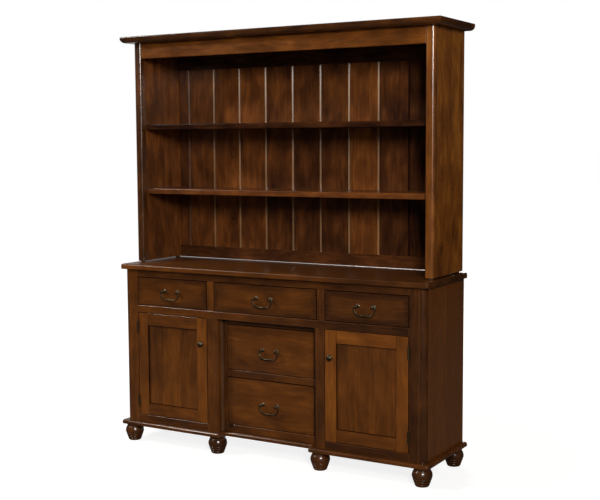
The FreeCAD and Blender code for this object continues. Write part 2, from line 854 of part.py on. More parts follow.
def make_drawers():
    """Three drawers in the row and two deep ones in the recess."""
    row = ((row_floor, row_top), front, s.row_box_height, ROW_TAILS, s.row_pull_lift)
    make_drawer("left_drawer", (-bay_outer, -bay_inner), *row)
    make_drawer("centre_drawer", (-centre_bay, centre_bay), *row)
    make_drawer("right_drawer", (bay_inner, bay_outer), *row)
    deep = (recess_front, s.deep_box_height, DEEP_TAILS, 0)
    recess = (-recess_bay, recess_bay)
    make_drawer("upper_deep_drawer", recess, (upper_deep_floor, upper_deep_top), *deep)
    make_drawer("lower_deep_drawer", recess, (door_floor, lower_deep_top), *deep)


def make_door_stile(label, edge_x, inward, low_z, high_z):
    """A door stile from its outer edge, with the panel groove on its inner edge."""
    body = new_body(label, edge_x, front, low_z)
    width, soft = s.door_stile, s.door_ease
    floor = width - s.panel_groove
    groove = (s.panel_set, s.panel_set + s.panel_thick)
    corners = [(0, s.door_thick)]
    corners += corner(0, 0, (0, -1), (1, 0), soft)
    corners += corner(width, 0, (1, 0), (0, 1), soft)
    corners += [(width, groove[0]), (floor, groove[0]), (floor, groove[1]), (width, groove[1])]
    corners += [(width, s.door_thick)]
    pad(body, outline(body, "XY_Plane", corners, flip=(inward, 1)), high_z - low_z)
    return body


def make_door_rail(label, low_x, length, edge_z, inward):
    """A door rail from its outer edge, with a tenon at each end and the panel groove on its inner edge."""
    body = new_body(label, low_x, front, edge_z)
    width, soft = s.door_rail, s.door_ease
    floor = width - s.panel_groove
    groove = (s.panel_set, s.panel_set + s.panel_thick)
    corners = [(s.door_thick, width), (groove[1], width), (groove[1], floor)]
    corners += [(groove[0], floor), (groove[0], width)]
    corners += corner(0, width, (-1, 0), (0, -1), soft)
    corners += corner(0, 0, (0, -1), (1, 0), soft)
    corners += [(s.door_thick, 0)]
    pad(body, outline(body, "YZ_Plane", corners, flip=(1, inward)), length)
    tenon = [(groove[0], 0), (groove[1], 0), (groove[1], floor), (groove[0], floor)]
    section = outline(body, "YZ_Plane", tenon, flip=(1, inward), offset=-s.panel_groove)
    pad(body, section, length + 2 * s.panel_groove)
    return body


def make_knob(label, x, y, z):
    """A turned knob on a small base."""
    profile = [
        (0, 0),
        (s.knob_base_radius, 0),
        (s.knob_base_radius, -s.knob_base_thick),
        (s.knob_stem, -2 * s.knob_base_thick),
        (s.knob_stem, -s.knob_stem_length, -s.knob_under_curve),
        (s.knob_radius, -s.knob_belly, -s.knob_dome_curve),
        (0, -s.knob_reach),
    ]
    body = new_body(label, x, y, z)
    turn(body, outline(body, "XY_Plane", profile))
    node(label, body)


def make_door(name, side):
    """An inset frame-and-panel door, hung at its outer stile."""
    low_x, high_x = sided(side, bay_inner + reveal, bay_outer - reveal)
    low_z, high_z = door_floor + reveal, door_top - reveal
    width = high_x - low_x
    between = width - 2 * s.door_stile
    rail_x = low_x + s.door_stile
    node(f"{name}_door_frame",
         make_door_stile(f"{name}_door_left_stile", low_x, 1, low_z, high_z),
         make_door_stile(f"{name}_door_right_stile", high_x, -1, low_z, high_z),
         make_door_rail(f"{name}_door_bottom_rail", rail_x, between, low_z, 1),
         make_door_rail(f"{name}_door_top_rail", rail_x, between, high_z, -1))
    tuck = s.panel_groove - s.panel_play
    node(f"{name}_door_panel", board(
        f"{name}_door_panel", (rail_x - tuck, rail_x + between + tuck),
        (front + s.panel_set, front + s.panel_set + s.panel_thick),
        (low_z + s.door_rail - tuck, high_z - s.door_rail + tuck)))
    knob_x = side * (bay_inner + reveal + s.door_stile / 2)
    make_knob(f"{name}_door_knob", knob_x, front, door_floor + s.knob_height)


def make_leaf(label, plate_x, axis_x, axis_y, low_z, knuckles):
    """A hinge leaf: a plate in the joint, and the knuckles that it wraps round the pin."""
    height = KNUCKLES * s.knuckle_height
    parts = [board(f"{label}_plate", plate_x, (front, front + s.leaf_depth), (low_z, low_z + height))]
    for number in knuckles:
        start = low_z + number * s.knuckle_height + s.knuckle_gap
        end = low_z + (number + 1) * s.knuckle_height - s.knuckle_gap
        parts.append(rod(f"{label}_knuckle", s.barrel_radius, end - start, axis_x, axis_y, start))
        parts.append(board(f"{label}_neck", plate_x, (axis_y, front), (start, end)))
    wrapped = doc.addObject("Part::MultiFuse", f"{label}_wrapped")
    wrapped.Shapes = parts
    bore = rod(f"{label}_bore", s.hinge_pin_radius + s.hinge_pin_play, height, axis_x, axis_y, low_z)
    leaf = doc.addObject("Part::Cut", label)
    leaf.Base = wrapped
    leaf.Tool = bore
    return leaf


def make_hinges():
    """Two butt hinges on each door: frame leaves, door leaves and pins with ball tips."""
    height = KNUCKLES * s.knuckle_height
    axis_y = front - s.barrel_radius - s.barrel_gap
    neck = s.tip_ball.leg(s.hinge_pin_radius)
    tip_centre = neck + s.knuckle_gap
    profile = [
        (0, -tip_centre - s.tip_ball, s.tip_ball),
        (s.hinge_pin_radius, -s.knuckle_gap),
        (s.hinge_pin_radius, height + s.knuckle_gap, s.tip_ball),
        (0, height + tip_centre + s.tip_ball),
    ]
    frame_leaves, pins = [], []
    for name, side in SIDES.items():
        axis_x = side * (bay_outer - reveal / 2)
        frame_plate = sided(side, bay_outer - s.leaf_thick, bay_outer)
        door_plate = sided(side, bay_outer - reveal, bay_outer - reveal + s.leaf_thick)
        door_leaves = []
        centres = {"lower": door_floor + s.hinge_from_end, "upper": door_top - s.hinge_from_end}
        for place, centre in centres.items():
            low_z = centre - height / 2
            label = f"{name}_{place}_hinge"
            frame_leaves.append(make_leaf(f"{label}_frame_leaf", frame_plate, axis_x, axis_y, low_z,
                                          range(0, KNUCKLES, 2)))
            door_leaves.append(make_leaf(f"{label}_door_leaf", door_plate, axis_x, axis_y, low_z,
                                         range(1, KNUCKLES, 2)))
            pin = new_body(f"{label}_pin", axis_x, axis_y, low_z)
            turn(pin, outline(pin, "XZ_Plane", profile))
            pins.append(pin)
        node(f"{name}_door_hinge_leaves", *door_leaves)
    node("hinge_frame_leaves", *frame_leaves)
    node("hinge_pins", *pins)


def make_hutch_sides():
    """The front stiles, the side boards and the low pads that the hutch stands on."""
    pads = []
    for name, side in SIDES.items():
        body = new_body(f"hutch_{name}_stile", side * hutch_half, hutch_front, hutch_floor)
        corners = [(0, s.stile_depth)]
        corners += corner(0, 0, (0, -1), (1, 0), s.stile_outer_round)
        corners += corner(s.stile_width, 0, (1, 0), (0, 1), s.stile_inner_round)
        corners += [(s.stile_width, s.stile_depth)]
        pad(body, outline(body, "XY_Plane", corners, flip=(-side, 1)), s.hutch_height)
        node(f"hutch_{name}_stile", body)
        node(f"hutch_{name}_side", board(
            f"hutch_{name}_side", sided(side, hutch_inside, hutch_half), (hutch_front + s.stile_depth, back),
            (hutch_floor, hutch_top)))
        for place, pad_y in (("front", hutch_front + s.pad_inset), ("rear", back - s.pad_inset)):
            pads.append(rod(f"{name}_{place}_pad", s.pad_radius, s.pad_thick,
                            side * (hutch_half - s.pad_inset), pad_y, top_face))
    node("hutch_pads", *pads)


def make_hutch_rails_and_shelves():
    """The header, the back rails and the two shelves."""
    header_half = hutch_half - s.stile_width
    header_front = hutch_front + s.header_setback
    node("hutch_header", eased_board(
        "hutch_header", (-header_half, header_half), (header_front, header_front + s.header_thick),
        (hutch_top - s.header_height, hutch_top), s.header_ease, front_lower_arris))
    inside = (-hutch_inside, hutch_inside)
    rail_front = plank_front - s.back_rail_reveal
    rail_depth = (rail_front, rail_front + s.back_rail_thick)
    node("hutch_back_rails",
         board("back_lower_rail", inside, rail_depth,
               (hutch_floor - s.back_rail_drop, hutch_floor + s.back_lower_rail)),
         board("back_upper_rail", inside, rail_depth, (hutch_top - s.back_upper_rail, hutch_top)))
    shelf_depth = (hutch_front + s.hutch_shelf_setback, plank_front)
    for name, rise in (("lower", s.lower_shelf_rise), ("upper", s.upper_shelf_rise)):
        shelf_floor = hutch_floor + rise
        node(f"hutch_{name}_shelf", eased_board(
            f"hutch_{name}_shelf", inside, shelf_depth, (shelf_floor, shelf_floor + s.hutch_shelf_thick),
            s.hutch_shelf_ease, front_arris))


def make_plank(label, low_x, width, low_z, high_z, grooved, tongued):
    """A back plank with a bevel on each front edge, a groove on the left and a tongue on the right."""
    body = new_body(label, low_x, plank_front, low_z)
    bevel, depth, thick = s.plank_bevel_width, s.plank_bevel_depth, s.plank_thick
    tongue = (depth + s.tongue_land, depth + s.tongue_land + s.tongue_thick)
    mouth = (tongue[0] - s.tongue_play, tongue[1] + s.tongue_play)
    groove = s.tongue_length + s.tongue_play
    corners = [(bevel, 0), (width - bevel, 0), (width, depth)]
    if tongued:
        tip = width + s.tongue_length
        corners += [(width, tongue[0]), (tip, tongue[0]), (tip, tongue[1]), (width, tongue[1])]
    corners += [(width, thick), (0, thick)]
    if grooved:
        corners += [(0, mouth[1]), (groove, mouth[1]), (groove, mouth[0]), (0, mouth[0])]
    corners += [(0, depth)]
    pad(body, outline(body, "XY_Plane", corners), high_z - low_z)
    return body


def make_planks():
    """The plank back: a plank on the middle line, whole planks either side and a narrow one at each end."""
    low_z = hutch_floor + s.back_lower_rail
    high_z = hutch_top - s.back_upper_rail
    whole_each_side = int((hutch_inside.value - s.plank_pitch.value / 2) // s.plank_pitch.value)
    joints = [(number + 0.5) * s.plank_pitch for number in range(-whole_each_side - 1, whole_each_side + 1)]
    edges = [-hutch_inside] + joints + [hutch_inside]
    last = len(edges) - 2
    planks = []
    for number, (low_x, high_x) in enumerate(zip(edges, edges[1:])):
        width = high_x - low_x
        planks.append(make_plank(f"plank_{number}", low_x, width, low_z, high_z, number > 0, number < last))
    node("hutch_back_planks", *planks)


def make_crown():
    """The crown slab: a broad roundover below, a small one above, flush at the back."""
    reach = hutch_half + s.crown_overhang
    low_y = hutch_front - s.crown_overhang
    body = new_body("crown_top", -reach, low_y, hutch_top)
    depth = back + s.crown_back_overhang - low_y
    slab = pad(body, outline(body, "XY_Plane", rectangle(2 * reach, depth)), s.crown_thick)
    lower = ease(body, slab, s.crown_under_round, lower_show_edges)
    ease(body, lower, s.crown_top_round, upper_show_edges)
    node("crown_top", body)


def check_document():
    """Stops if any object failed to build or any sub-part isn't a sound solid."""
    doc.recompute()
    failed = [item.Label for item in doc.Objects if "Invalid" in item.State or "Error" in item.State]
    if failed:
        raise RuntimeError(f"failed objects: {failed}")
    for cut in pockets:
        if cut.Shape.Volume >= cut.BaseFeature.Shape.Volume:
            raise RuntimeError(f"a pocket cut nothing: {cut.Label}")
    for label, piece in nodes.items():
        if piece.Shape.isNull() or not piece.Shape.isValid() or not piece.Shape.Solids:
            raise RuntimeError(f"bad shape: {label}")
        if piece.Label != label:
            raise RuntimeError(f"label in use twice: {label}")


def write_parts():
    """Writes each sub-part to its own file."""
    os.makedirs("parts", exist_ok=True)
    for label, piece in nodes.items():
        piece.Shape.exportStep(f"parts/{label}.step")


make_feet()
make_base_plate()
make_buffet_top()
for side_name, hand in SIDES.items():
    make_corner_post(side_name, hand)
    make_inner_post(side_name, hand)
make_face_frame()
make_case_boards()
make_cabinet_fittings()
make_runners()
make_drawers()
for side_name, hand in SIDES.items():
    make_door(side_name, hand)
make_hinges()
make_hutch_sides()
make_hutch_rails_and_shelves()
make_planks()
make_crown()
check_document()
write_parts()
print(len(nodes), "nodes", sum(len(piece.Shape.Solids) for piece in nodes.values()), "solids")
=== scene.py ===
"""Looks of a dresser with hutch: stained boards with eased edges, bronze hardware, felt pads, a studio."""

import json
import logging
import math
import random
from collections import defaultdict
from collections.abc import Sequence
from dataclasses import dataclass, field, replace
from enum import Enum
from typing import Any

import bmesh
import bpy
from bmesh.types import BMEdge, BMesh, BMVert
from bpy.types import ID, Material, NodeOutputs, NodeSocket, NodeTree, Object, World
from mathutils import Matrix, Vector
from mathutils.bvhtree import BVHTree


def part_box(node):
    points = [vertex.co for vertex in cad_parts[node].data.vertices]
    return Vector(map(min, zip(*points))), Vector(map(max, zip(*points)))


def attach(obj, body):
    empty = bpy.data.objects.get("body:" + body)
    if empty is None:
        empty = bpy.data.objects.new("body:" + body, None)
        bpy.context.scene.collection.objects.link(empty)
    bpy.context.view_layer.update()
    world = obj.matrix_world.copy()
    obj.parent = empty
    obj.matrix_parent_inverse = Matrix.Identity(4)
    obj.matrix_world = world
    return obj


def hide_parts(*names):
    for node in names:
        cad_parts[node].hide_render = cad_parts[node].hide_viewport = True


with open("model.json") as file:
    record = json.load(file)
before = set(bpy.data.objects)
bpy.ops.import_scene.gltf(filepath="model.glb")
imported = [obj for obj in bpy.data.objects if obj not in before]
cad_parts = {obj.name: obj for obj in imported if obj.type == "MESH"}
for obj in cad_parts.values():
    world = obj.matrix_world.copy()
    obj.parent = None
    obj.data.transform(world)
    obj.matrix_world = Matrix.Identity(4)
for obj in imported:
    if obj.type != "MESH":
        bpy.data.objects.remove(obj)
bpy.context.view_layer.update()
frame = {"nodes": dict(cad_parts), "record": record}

LOG = logging.getLogger("dresser")
MM = 0.001
# Material slot of the faces of a board that have no lacquer. These faces are dull and painted darker, for
# pooled stain and as painted shade in the gaps.
UNLACQUERED = 1
# Longer than any board, in millimetres: the width of a stave where boards are sawn whole.
WHOLE = 1.0e5

Pair = tuple[float, float]
Triple = tuple[float, float, float]
Stops = tuple[tuple[float, str], ...]
# One tone of stain, or the tones of a board's left or lower end and of its other end.
Tone = float | Pair


class Grain(Enum):
    """Which way the fibres of a board run."""

    LONGEST = "along the longest side"
    UPRIGHT = "upright"


class DullFaces(Enum):
    """Where a board has no lacquer, so that it is dull and painted darker by its finish: stain has pooled
    there, and the darkness is also a painted shade in the gaps.
    """

    NOWHERE = "nowhere"
    LEFT_SIDES = "on the flat sides that face left"
    RIGHT_SIDES = "on the flat sides that face right"
    SIDES = "on all flat sides but the front and the back"
    EDGES = "on those sides and the rounded edges"
    LOWER_EDGES = "on those sides and the rounded edges, but for the top one"
    TOPS = "on the flat sides that face up"


def linear(code: str) -> tuple[float, float, float, float]:
    """Turns an sRGB hex colour into linear light.

    Args:
        code: The colour as #RRGGBB.

    Returns:
        Red, green, blue and an alpha of 1.
    """
    parts = [int(code[at : at + 2], 16) / 255 for at in (1, 3, 5)]
    light = [c / 12.92 if c <= 0.04045 else ((c + 0.055) / 1.055) ** 2.4 for c in parts]
    return (light[0], light[1], light[2], 1.0)


def add_node(
    tree: NodeTree,
    kind: str,
    inputs: dict[str | int, Any] | Sequence[Any] = (),
    stops: Stops = (),
    **settings: Any,
) -> NodeOutputs:
    """Adds one shader node with its settings, values and links.

    Args:
        tree: The node tree that gets the node.
        kind: The node's type name, from after ShaderNode.
        inputs: Values, or sockets to link from, in the order of the node's inputs or by name or number.
        stops: Places and hex colours of a colour ramp.
        **settings: The node's own properties.

    Returns:
        The new node's outputs.
    """
    node = tree.nodes.new(f"ShaderNode{kind}")
    for name, value in settings.items():
        setattr(node, name, value)
    given = inputs.items() if isinstance(inputs, dict) else enumerate(inputs)
    for key, value in given:
        if isinstance(value, NodeSocket):
            tree.links.new(value, node.inputs[key])
        else:
            node.inputs[key].default_value = value
    if stops:
        ramp = node.color_ramp
        while len(ramp.elements) < len(stops):
            ramp.elements.new(1.0)
        for element, (place, code) in zip(ramp.elements, stops):
            element.position = place
            element.color = linear(code)
    return node.outputs


def empty_tree(owner: Material | World) -> NodeTree:
    """Gives a material or a world an empty node tree.

    Args:
        owner: The material or world.

    Returns:
        The tree.
    """
    owner.use_nodes = True
    owner.node_tree.nodes.clear()
    return owner.node_tree


def add_object(name: str, data: ID | BMesh) -> Object:
    """Adds an object to the scene, at the origin.

    Args:
        name: The object's name, and that of a new mesh.
        data: What the object holds, or a finished bmesh, which is used up.

    Returns:
        The object.
    """
    if isinstance(data, BMesh):
        mesh = bpy.data.meshes.new(name)
        data.to_mesh(mesh)
        data.free()
        data = mesh
    made = bpy.data.objects.new(name, data)
    bpy.context.scene.collection.objects.link(made)
    return made


@dataclass(frozen=True)
class Finish:
    """A finish: the name of its material, and the record's slot that its pieces take."""

    name: str
    slot: str

    def material(self) -> Material:
        """Makes the node material, once for each finish.

        Returns:
            The material.
        """
        material = bpy.data.materials.get(self.name)
        if not material:
            material = bpy.data.materials.new(self.name)
            tree = empty_tree(material)
            add_node(tree, "OutputMaterial", {"Surface": self.shader(tree)[0]})
        return material

    def shader(self, tree: NodeTree) -> NodeOutputs:
        """Adds the nodes of the finish to an empty tree, and gives the shader's outputs."""
        raise NotImplementedError


@dataclass(frozen=True)
class BoardFinish(Finish):
    """A finish of sawn boards. Its patterns are drawn in each board's own grain space, in millimetres.

    In that space x runs along the fibres, y across the board's width and z through its thickness.
    """

    stops: Stops
    knot: str = "#1E0E07"
    wear_and_highlight: str = "#8A5526"
    # Where a board lies on the ramp of stain, and how far tone, staves and patterns move it.
    depth: float = 0.5
    tone_spread: float = 0.16
    stave_spread: float = 0.06
    blotch_share: float = 0.48
    mottle_share: float = 0.24
    streak_share: float = 0.28
    pore_share: float = 0.18
    wear_share: float = 0.18
    rim_darkening: float = 0.0
    # How much darker the faces without lacquer are painted: pooled stain, and painted shade in the gaps.
    painted_shade_depth: float = 0.55
    # Gloss, and how much rougher the faces without lacquer are.
    roughness: Pair = (0.22, 0.27)
    matting: float = 0.5
    shine: float = 0.44
    coat: float = 0.22
    coat_roughness: float = 0.09
    relief: float = 0.03
    # Sizes of the patterns in millimetres. Pores are drawn coarser than real ones, so that they show.
    stave_width: float = 95.0
    stave_shift: float = 3000.0
    rim_darkening_width: float = 36.0
    sway_size: Triple = (420.0, 120.0, 120.0)
    sway_reach: Triple = (0.0, 90.0, 24.0)
    blotch_size: Triple = (150.0, 74.0, 74.0)
    mottle_size: Triple = (62.0, 20.0, 20.0)
    streak_size: Triple = (300.0, 10.0, 10.0)
    pore_size: Triple = (70.0, 1.5, 1.5)
    bump_height: float = 0.3
    pore_height: float = 0.6
    octave: float = 0.55
    usual_blotch: Pair = (0.3, 0.7)
    # Knots: the share of cells that hold one, a cell's size, and the knot's measures as shares of a cell.
    knot_chance: float = 0.12
    knot_cell: Triple = (260.0, 150.0, 3000.0)
    knot_heart: Pair = (0.065, 0.105)
    knot_halo: Pair = (0.08, 0.26)
    knot_ragged: float = 0.04
    ring_rate: float = 110.0
    ring_depth: float = 0.10
    halo_depth: float = 0.16

    def unlacquered(self) -> "BoardFinish":
        """Gives the finish of the faces without lacquer: dull, and painted darker for pooled stain and as
        painted shade in the gaps.

        Returns:
            The finish.
        """
        low, high = self.roughness
        return replace(
            self,
            name=f"{self.name}_unlacquered",
            depth=self.depth - self.painted_shade_depth,
            roughness=(low + self.matting, high + self.matting),
            shine=0.0,
            coat=0.0,
        )

    def shader(self, tree: NodeTree) -> NodeOutputs:
        """Adds the nodes of the finish.

        Args:
            tree: The material's empty node tree.

        Returns:
            The shader's outputs.
        """
        grain = add_node(tree, "Attribute", attribute_name="grain")["Vector"]
        tone = add_node(tree, "Attribute", attribute_name="tone")["Fac"]
        edge = add_node(tree, "Attribute", attribute_name="edge")["Fac"]

        # Wide pieces are glued up from staves, each sawn from another plank.
        size = (WHOLE, self.stave_width, WHOLE)
        stave = add_node(tree, "VectorMath", (grain, size), operation="SNAP")[0]
        plank = add_node(tree, "TexWhiteNoise", {"Vector": stave}, noise_dimensions="3D")
        moved = {0: plank["Color"], "Scale": self.stave_shift}
        shift = add_node(tree, "VectorMath", moved, operation="SCALE")[0]
        own = add_node(tree, "VectorMath", (grain, shift), operation="ADD")[0]
        blotch, mottle, streak, pores = self.patterns(tree, own)

        # The parts add up to one depth of stain, which the ramp turns to colour.
        parts = (
            (blotch, self.blotch_share),
            (mottle, self.mottle_share),
            (streak, self.streak_share),
            (pores, self.pore_share),
            (plank["Value"], 2 * self.stave_spread),
        )
        depth = self.depth - sum(share for _, share in parts) / 2
        for part, share in (*parts, (tone, self.tone_spread)):
            depth = add_node(tree, "Math", (part, share, depth), operation="MULTIPLY_ADD")[0]
        # Blotches with a mean of 1 make the darker rims and the wear uneven.
        uneven = add_node(tree, "Math", (blotch, 0.5), operation="ADD")[0]
        if self.rim_darkening:
            rim = self.rim(tree)
            depth = add_node(tree, "Math", (rim, uneven, depth), operation="MULTIPLY_ADD")[0]
        # Knots and worn edges lie over the stain; on the planks' bevels this layer is a painted highlight.
        wear_and_highlight_share = add_node(tree, "Math", (edge, self.wear_share), operation="MULTIPLY")[0]
        patchy = add_node(tree, "Math", (wear_and_highlight_share, uneven), operation="MULTIPLY", use_clamp=True)[0]
        covers = [(patchy, self.wear_and_highlight)]
        if self.knot_chance:
            knot, rings = self.knots(tree, own, pores)
            depth = add_node(tree, "Math", (rings, depth), operation="ADD")[0]
            covers.insert(0, (knot, self.knot))
        colour = add_node(tree, "ValToRGB", {"Fac": depth}, self.stops)["Color"]
        for share, code in covers:
            colour = add_node(tree, "Mix", {0: share, 6: colour, 7: linear(code)}, data_type="RGBA")[2]

        height = add_node(tree, "Math", (pores, self.pore_height, streak), operation="MULTIPLY_ADD")[0]
        bump = {"Height": height, "Strength": self.relief, "Distance": self.bump_height * MM}
        return add_node(
            tree,
            "BsdfPrincipled",
            {
                "Base Color": colour,
                "Roughness": add_node(tree, "MapRange", (blotch, *self.usual_blotch, *self.roughness))[0],
                "Normal": add_node(tree, "Bump", bump)[0],
                "Specular IOR Level": self.shine,
                "Coat Weight": self.coat,
                "Coat Roughness": self.coat_roughness,
            },
        )

    def patterns(self, tree: NodeTree, own: NodeSocket) -> list[NodeSocket]:
        """Adds the patterns that follow the fibres, which wander sideways over a hand's length.

        Args:
            tree: The material's node tree.
            own: The grain space of each stave.

        Returns:
            Blotches, mottle, streaks and pores, each from 0 to 1.
        """
        slow = add_node(tree, "VectorMath", (own, self.sway_size), operation="DIVIDE")[0]
        sway = add_node(
            tree, "TexNoise", {"Vector": slow, "Scale": 1.0, "Detail": 1.0, "Roughness": self.octave}
        )["Color"]
        bent = add_node(tree, "VectorMath", (sway, self.sway_reach, own), operation="MULTIPLY_ADD")[0]
        made = []
        for size, detail in (
            (self.blotch_size, 1.4),
            (self.mottle_size, 3.0),
            (self.streak_size, 4.0),
            (self.pore_size, 2.0),
        ):
            place = add_node(tree, "VectorMath", (bent, size), operation="DIVIDE")[0]
            clouds = {"Vector": place, "Scale": 1.0, "Detail": detail, "Roughness": self.octave}
            made.append(add_node(tree, "TexNoise", clouds)["Fac"])
        return made

    def rim(self, tree: NodeTree) -> NodeSocket:
        """Finds how much darker a board is drawn towards its ends and sides.

        Args:
            tree: The material's node tree.

        Returns:
            The change in depth, which is 0 away from the rim.
        """
        ends = [
            add_node(tree, "Attribute", attribute_name=name)["Vector"] for name in ("from_start", "from_end")
        ]
        nearer = add_node(tree, "VectorMath", ends, operation="MINIMUM")[0]
        along, across, _ = add_node(tree, "SeparateXYZ", (nearer,))
        inset = add_node(tree, "Math", (along, across), operation="MINIMUM")[0]
        fade = (inset, 0.0, self.rim_darkening_width, -self.rim_darkening, 0.0)
        return add_node(tree, "MapRange", fade, interpolation_type="SMOOTHSTEP")[0]

    def knots(self, tree: NodeTree, own: NodeSocket, pores: NodeSocket) -> tuple[NodeSocket, NodeSocket]:
        """Adds knots, which go through the thickness of the board, with rings round them.

        Args:
            tree: The material's node tree.
            own: The grain space of each stave.
            pores: The pattern that makes the knots' outlines ragged.

        Returns:
            Where a knot is, and the change in depth where its rings are.
        """
        place = add_node(tree, "VectorMath", (own, self.knot_cell), operation="DIVIDE")[0]
        cells = add_node(tree, "TexVoronoi", {"Vector": place, "Scale": 1.0, "Randomness": 1.0})
        chance = (cells["Color"], 1.0 - self.knot_chance)
        chosen = add_node(tree, "Math", chance, operation="GREATER_THAN")[0]
        outline = (pores, self.knot_ragged, cells["Distance"])
        ragged = add_node(tree, "Math", outline, operation="MULTIPLY_ADD")[0]
        turns = add_node(tree, "Math", (ragged, self.ring_rate), operation="MULTIPLY")[0]
        wave = add_node(tree, "Math", (turns,), operation="SINE")[0]
        lines = (wave, self.ring_depth, -self.halo_depth)
        rings = add_node(tree, "Math", lines, operation="MULTIPLY_ADD")[0]
        shown = add_node(tree, "Math", (rings, chosen), operation="MULTIPLY")[0]
        knot, change = (
            add_node(tree, "MapRange", (ragged, *reach, most, 0.0), interpolation_type="SMOOTHSTEP")[0]
            for reach, most in ((self.knot_heart, chosen), (self.knot_halo, shown))
        )
        return knot, change


@dataclass(frozen=True)
class AgedBronze(Finish):
    """Cast bronze, darkened in a bath and rubbed back: nearly black, with an olive sheen where it is worn.

    The grit of the casting is drawn coarser than the real one, so that it shows. Lengths are in millimetres.
    """

    name: str = "aged_cast_bronze"
    slot: str = "bronze_hardware"
    stops: Stops = ((0.35, "#332D25"), (0.68, "#72664E"))
    patch: float = 5.0
    usual_patch: Pair = (0.3, 0.7)
    roughness: Pair = (0.54, 0.40)
    grit: float = 0.7
    grit_height: float = 0.1
    relief: float = 0.2

    def shader(self, tree: NodeTree) -> NodeOutputs:
        """Adds the nodes of the finish.

        Args:
            tree: The material's empty node tree.

        Returns:
            The shader's outputs.
        """
        place = add_node(tree, "TexCoord")["Object"]
        clouds = {"Vector": place, "Scale": 1 / (self.patch * MM), "Detail": 3.0, "Roughness": 0.6}
        patches = add_node(tree, "TexNoise", clouds)["Fac"]
        grains = {"Vector": place, "Scale": 1 / (self.grit * MM), "Detail": 2.0}
        grit = add_node(tree, "TexNoise", grains)["Fac"]
        bump = {"Height": grit, "Strength": self.relief, "Distance": self.grit_height * MM}
        return add_node(
            tree,
            "BsdfPrincipled",
            {
                "Base Color": add_node(tree, "ValToRGB", {"Fac": patches}, self.stops)["Color"],
                "Metallic": 1.0,
                "Roughness": add_node(tree, "MapRange", (patches, *self.usual_patch, *self.roughness))[0],
                "Normal": add_node(tree, "Bump", bump)[0],
            },
        )


@dataclass(frozen=True)
class PressedFelt(Finish):
    """Pressed wool felt: a dull brown with a nap of short fibres and no gloss.

    The fibres are drawn coarser than real wool, so that they show. Lengths are in millimetres.
    """

    name: str = "pressed_wool_felt"
    slot: str = "pad_felt"
    stops: Stops = ((0.3, "#2A1C12"), (0.75, "#57402B"))
    fibre: float = 0.8
    nap_height: float = 0.4
    relief: float = 0.6
    roughness: float = 0.95
    sheen: float = 0.3

    def shader(self, tree: NodeTree) -> NodeOutputs:
        """Adds the nodes of the finish.

        Args:
            tree: The material's empty node tree.

        Returns:
            The shader's outputs.
        """
        place = add_node(tree, "TexCoord")["Object"]
        fibres = {"Vector": place, "Scale": 1 / (self.fibre * MM), "Detail": 4.0}
        nap = add_node(tree, "TexNoise", fibres)["Fac"]
        bump = {"Height": nap, "Strength": self.relief, "Distance": self.nap_height * MM}
        return add_node(
            tree,
            "BsdfPrincipled",
            {
                "Base Color": add_node(tree, "ValToRGB", {"Fac": nap}, self.stops)["Color"],
                "Roughness": self.roughness,
                "Normal": add_node(tree, "Bump", bump)[0],
                "Sheen Weight": self.sheen,
            },
        )


# Alder, stained walnut brown and sprayed with satin lacquer: mottled, streaky and warm, with a soft shine.
STAIN = ((0.10, "#231109"), (0.36, "#44250D"), (0.56, "#5F3410"), (0.76, "#7A4515"), (0.95, "#995D1E"))
CASE = BoardFinish("stained_alder_case", "case_wood", STAIN)
# Inside the hutch, where the lacquer is thin, the same stain looks greyer.
DRY_STAIN = ((0.10, "#24120B"), (0.36, "#442512"), (0.56, "#5F3518"), (0.76, "#7A461E"), (0.95, "#995E28"))
# Boards of the same alder with more figure: clouds, swirls and knots.
FIGURED = replace(
    CASE,
    name="stained_figured_alder",
    stave_width=150.0,
    blotch_share=0.68,
    mottle_share=0.40,
    streak_share=0.34,
    knot_chance=0.34,
)
# The stiles at the front of the hutch, polished to a full gloss that draws a white line along their rounds.
STILE = replace(FIGURED, name="stained_alder_polished_stiles", shine=0.95, coat=0.9, coat_roughness=0.15)
# The figured boards inside the hutch.
SHELTERED = replace(FIGURED, name="stained_figured_alder_inside", stops=DRY_STAIN, shine=0.26, coat=0.03)
# The upper shelf, which has hardly any lacquer.
DULL = replace(SHELTERED, name="stained_figured_alder_dull", shine=0.08, coat=0.0)
# The crown, which is stained all over, but has no lacquer on its top.
CROWN = replace(FIGURED, name="stained_figured_alder_crown", painted_shade_depth=0.0)
# Feet polished on the lathe to a fuller gloss.
TURNED = replace(CASE, name="stained_alder_turned_feet", shine=0.6, coat=0.4, coat_roughness=0.2)
# Plain boards, picked for an even colour.
EVEN = replace(
    CASE,
    name="stained_even_alder",
    stave_spread=0.02,
    blotch_share=0.16,
    mottle_share=0.08,
    streak_share=0.12,
    pore_share=0.10,
    knot_chance=0.0,
)
# The top, rubbed down to a softer shine.
TOP = replace(CASE, name="stained_alder_rubbed_top", roughness=(0.30, 0.36), shine=0.26, coat=0.03)
# Planks sawn whole. Along their joints a pale wood colour is painted on the bevels, a painted highlight in
# place of the gloss line that light draws there.
PLANK = BoardFinish(
    "stained_alder_planks",
    "plank_wood",
    DRY_STAIN,
    wear_and_highlight="#B8925F",
    stave_width=WHOLE,
    blotch_share=0.78,
    mottle_share=0.34,
    streak_share=0.40,
    knot_chance=0.3,
    wear_share=0.85,
    shine=0.28,
    coat=0.03,
)
# Doors of the same alder, without knots.
DOOR = BoardFinish("stained_alder_doors", "door_wood", STAIN, knot_chance=0.0)
# Drawer fronts of one board each, darker towards their ends and sides.
DRAWER_FRONT = BoardFinish(
    "stained_alder_drawer_fronts",
    "drawer_front_wood",
    STAIN,
    stave_width=WHOLE,
    knot_chance=0.0,
    rim_darkening=0.15,
)
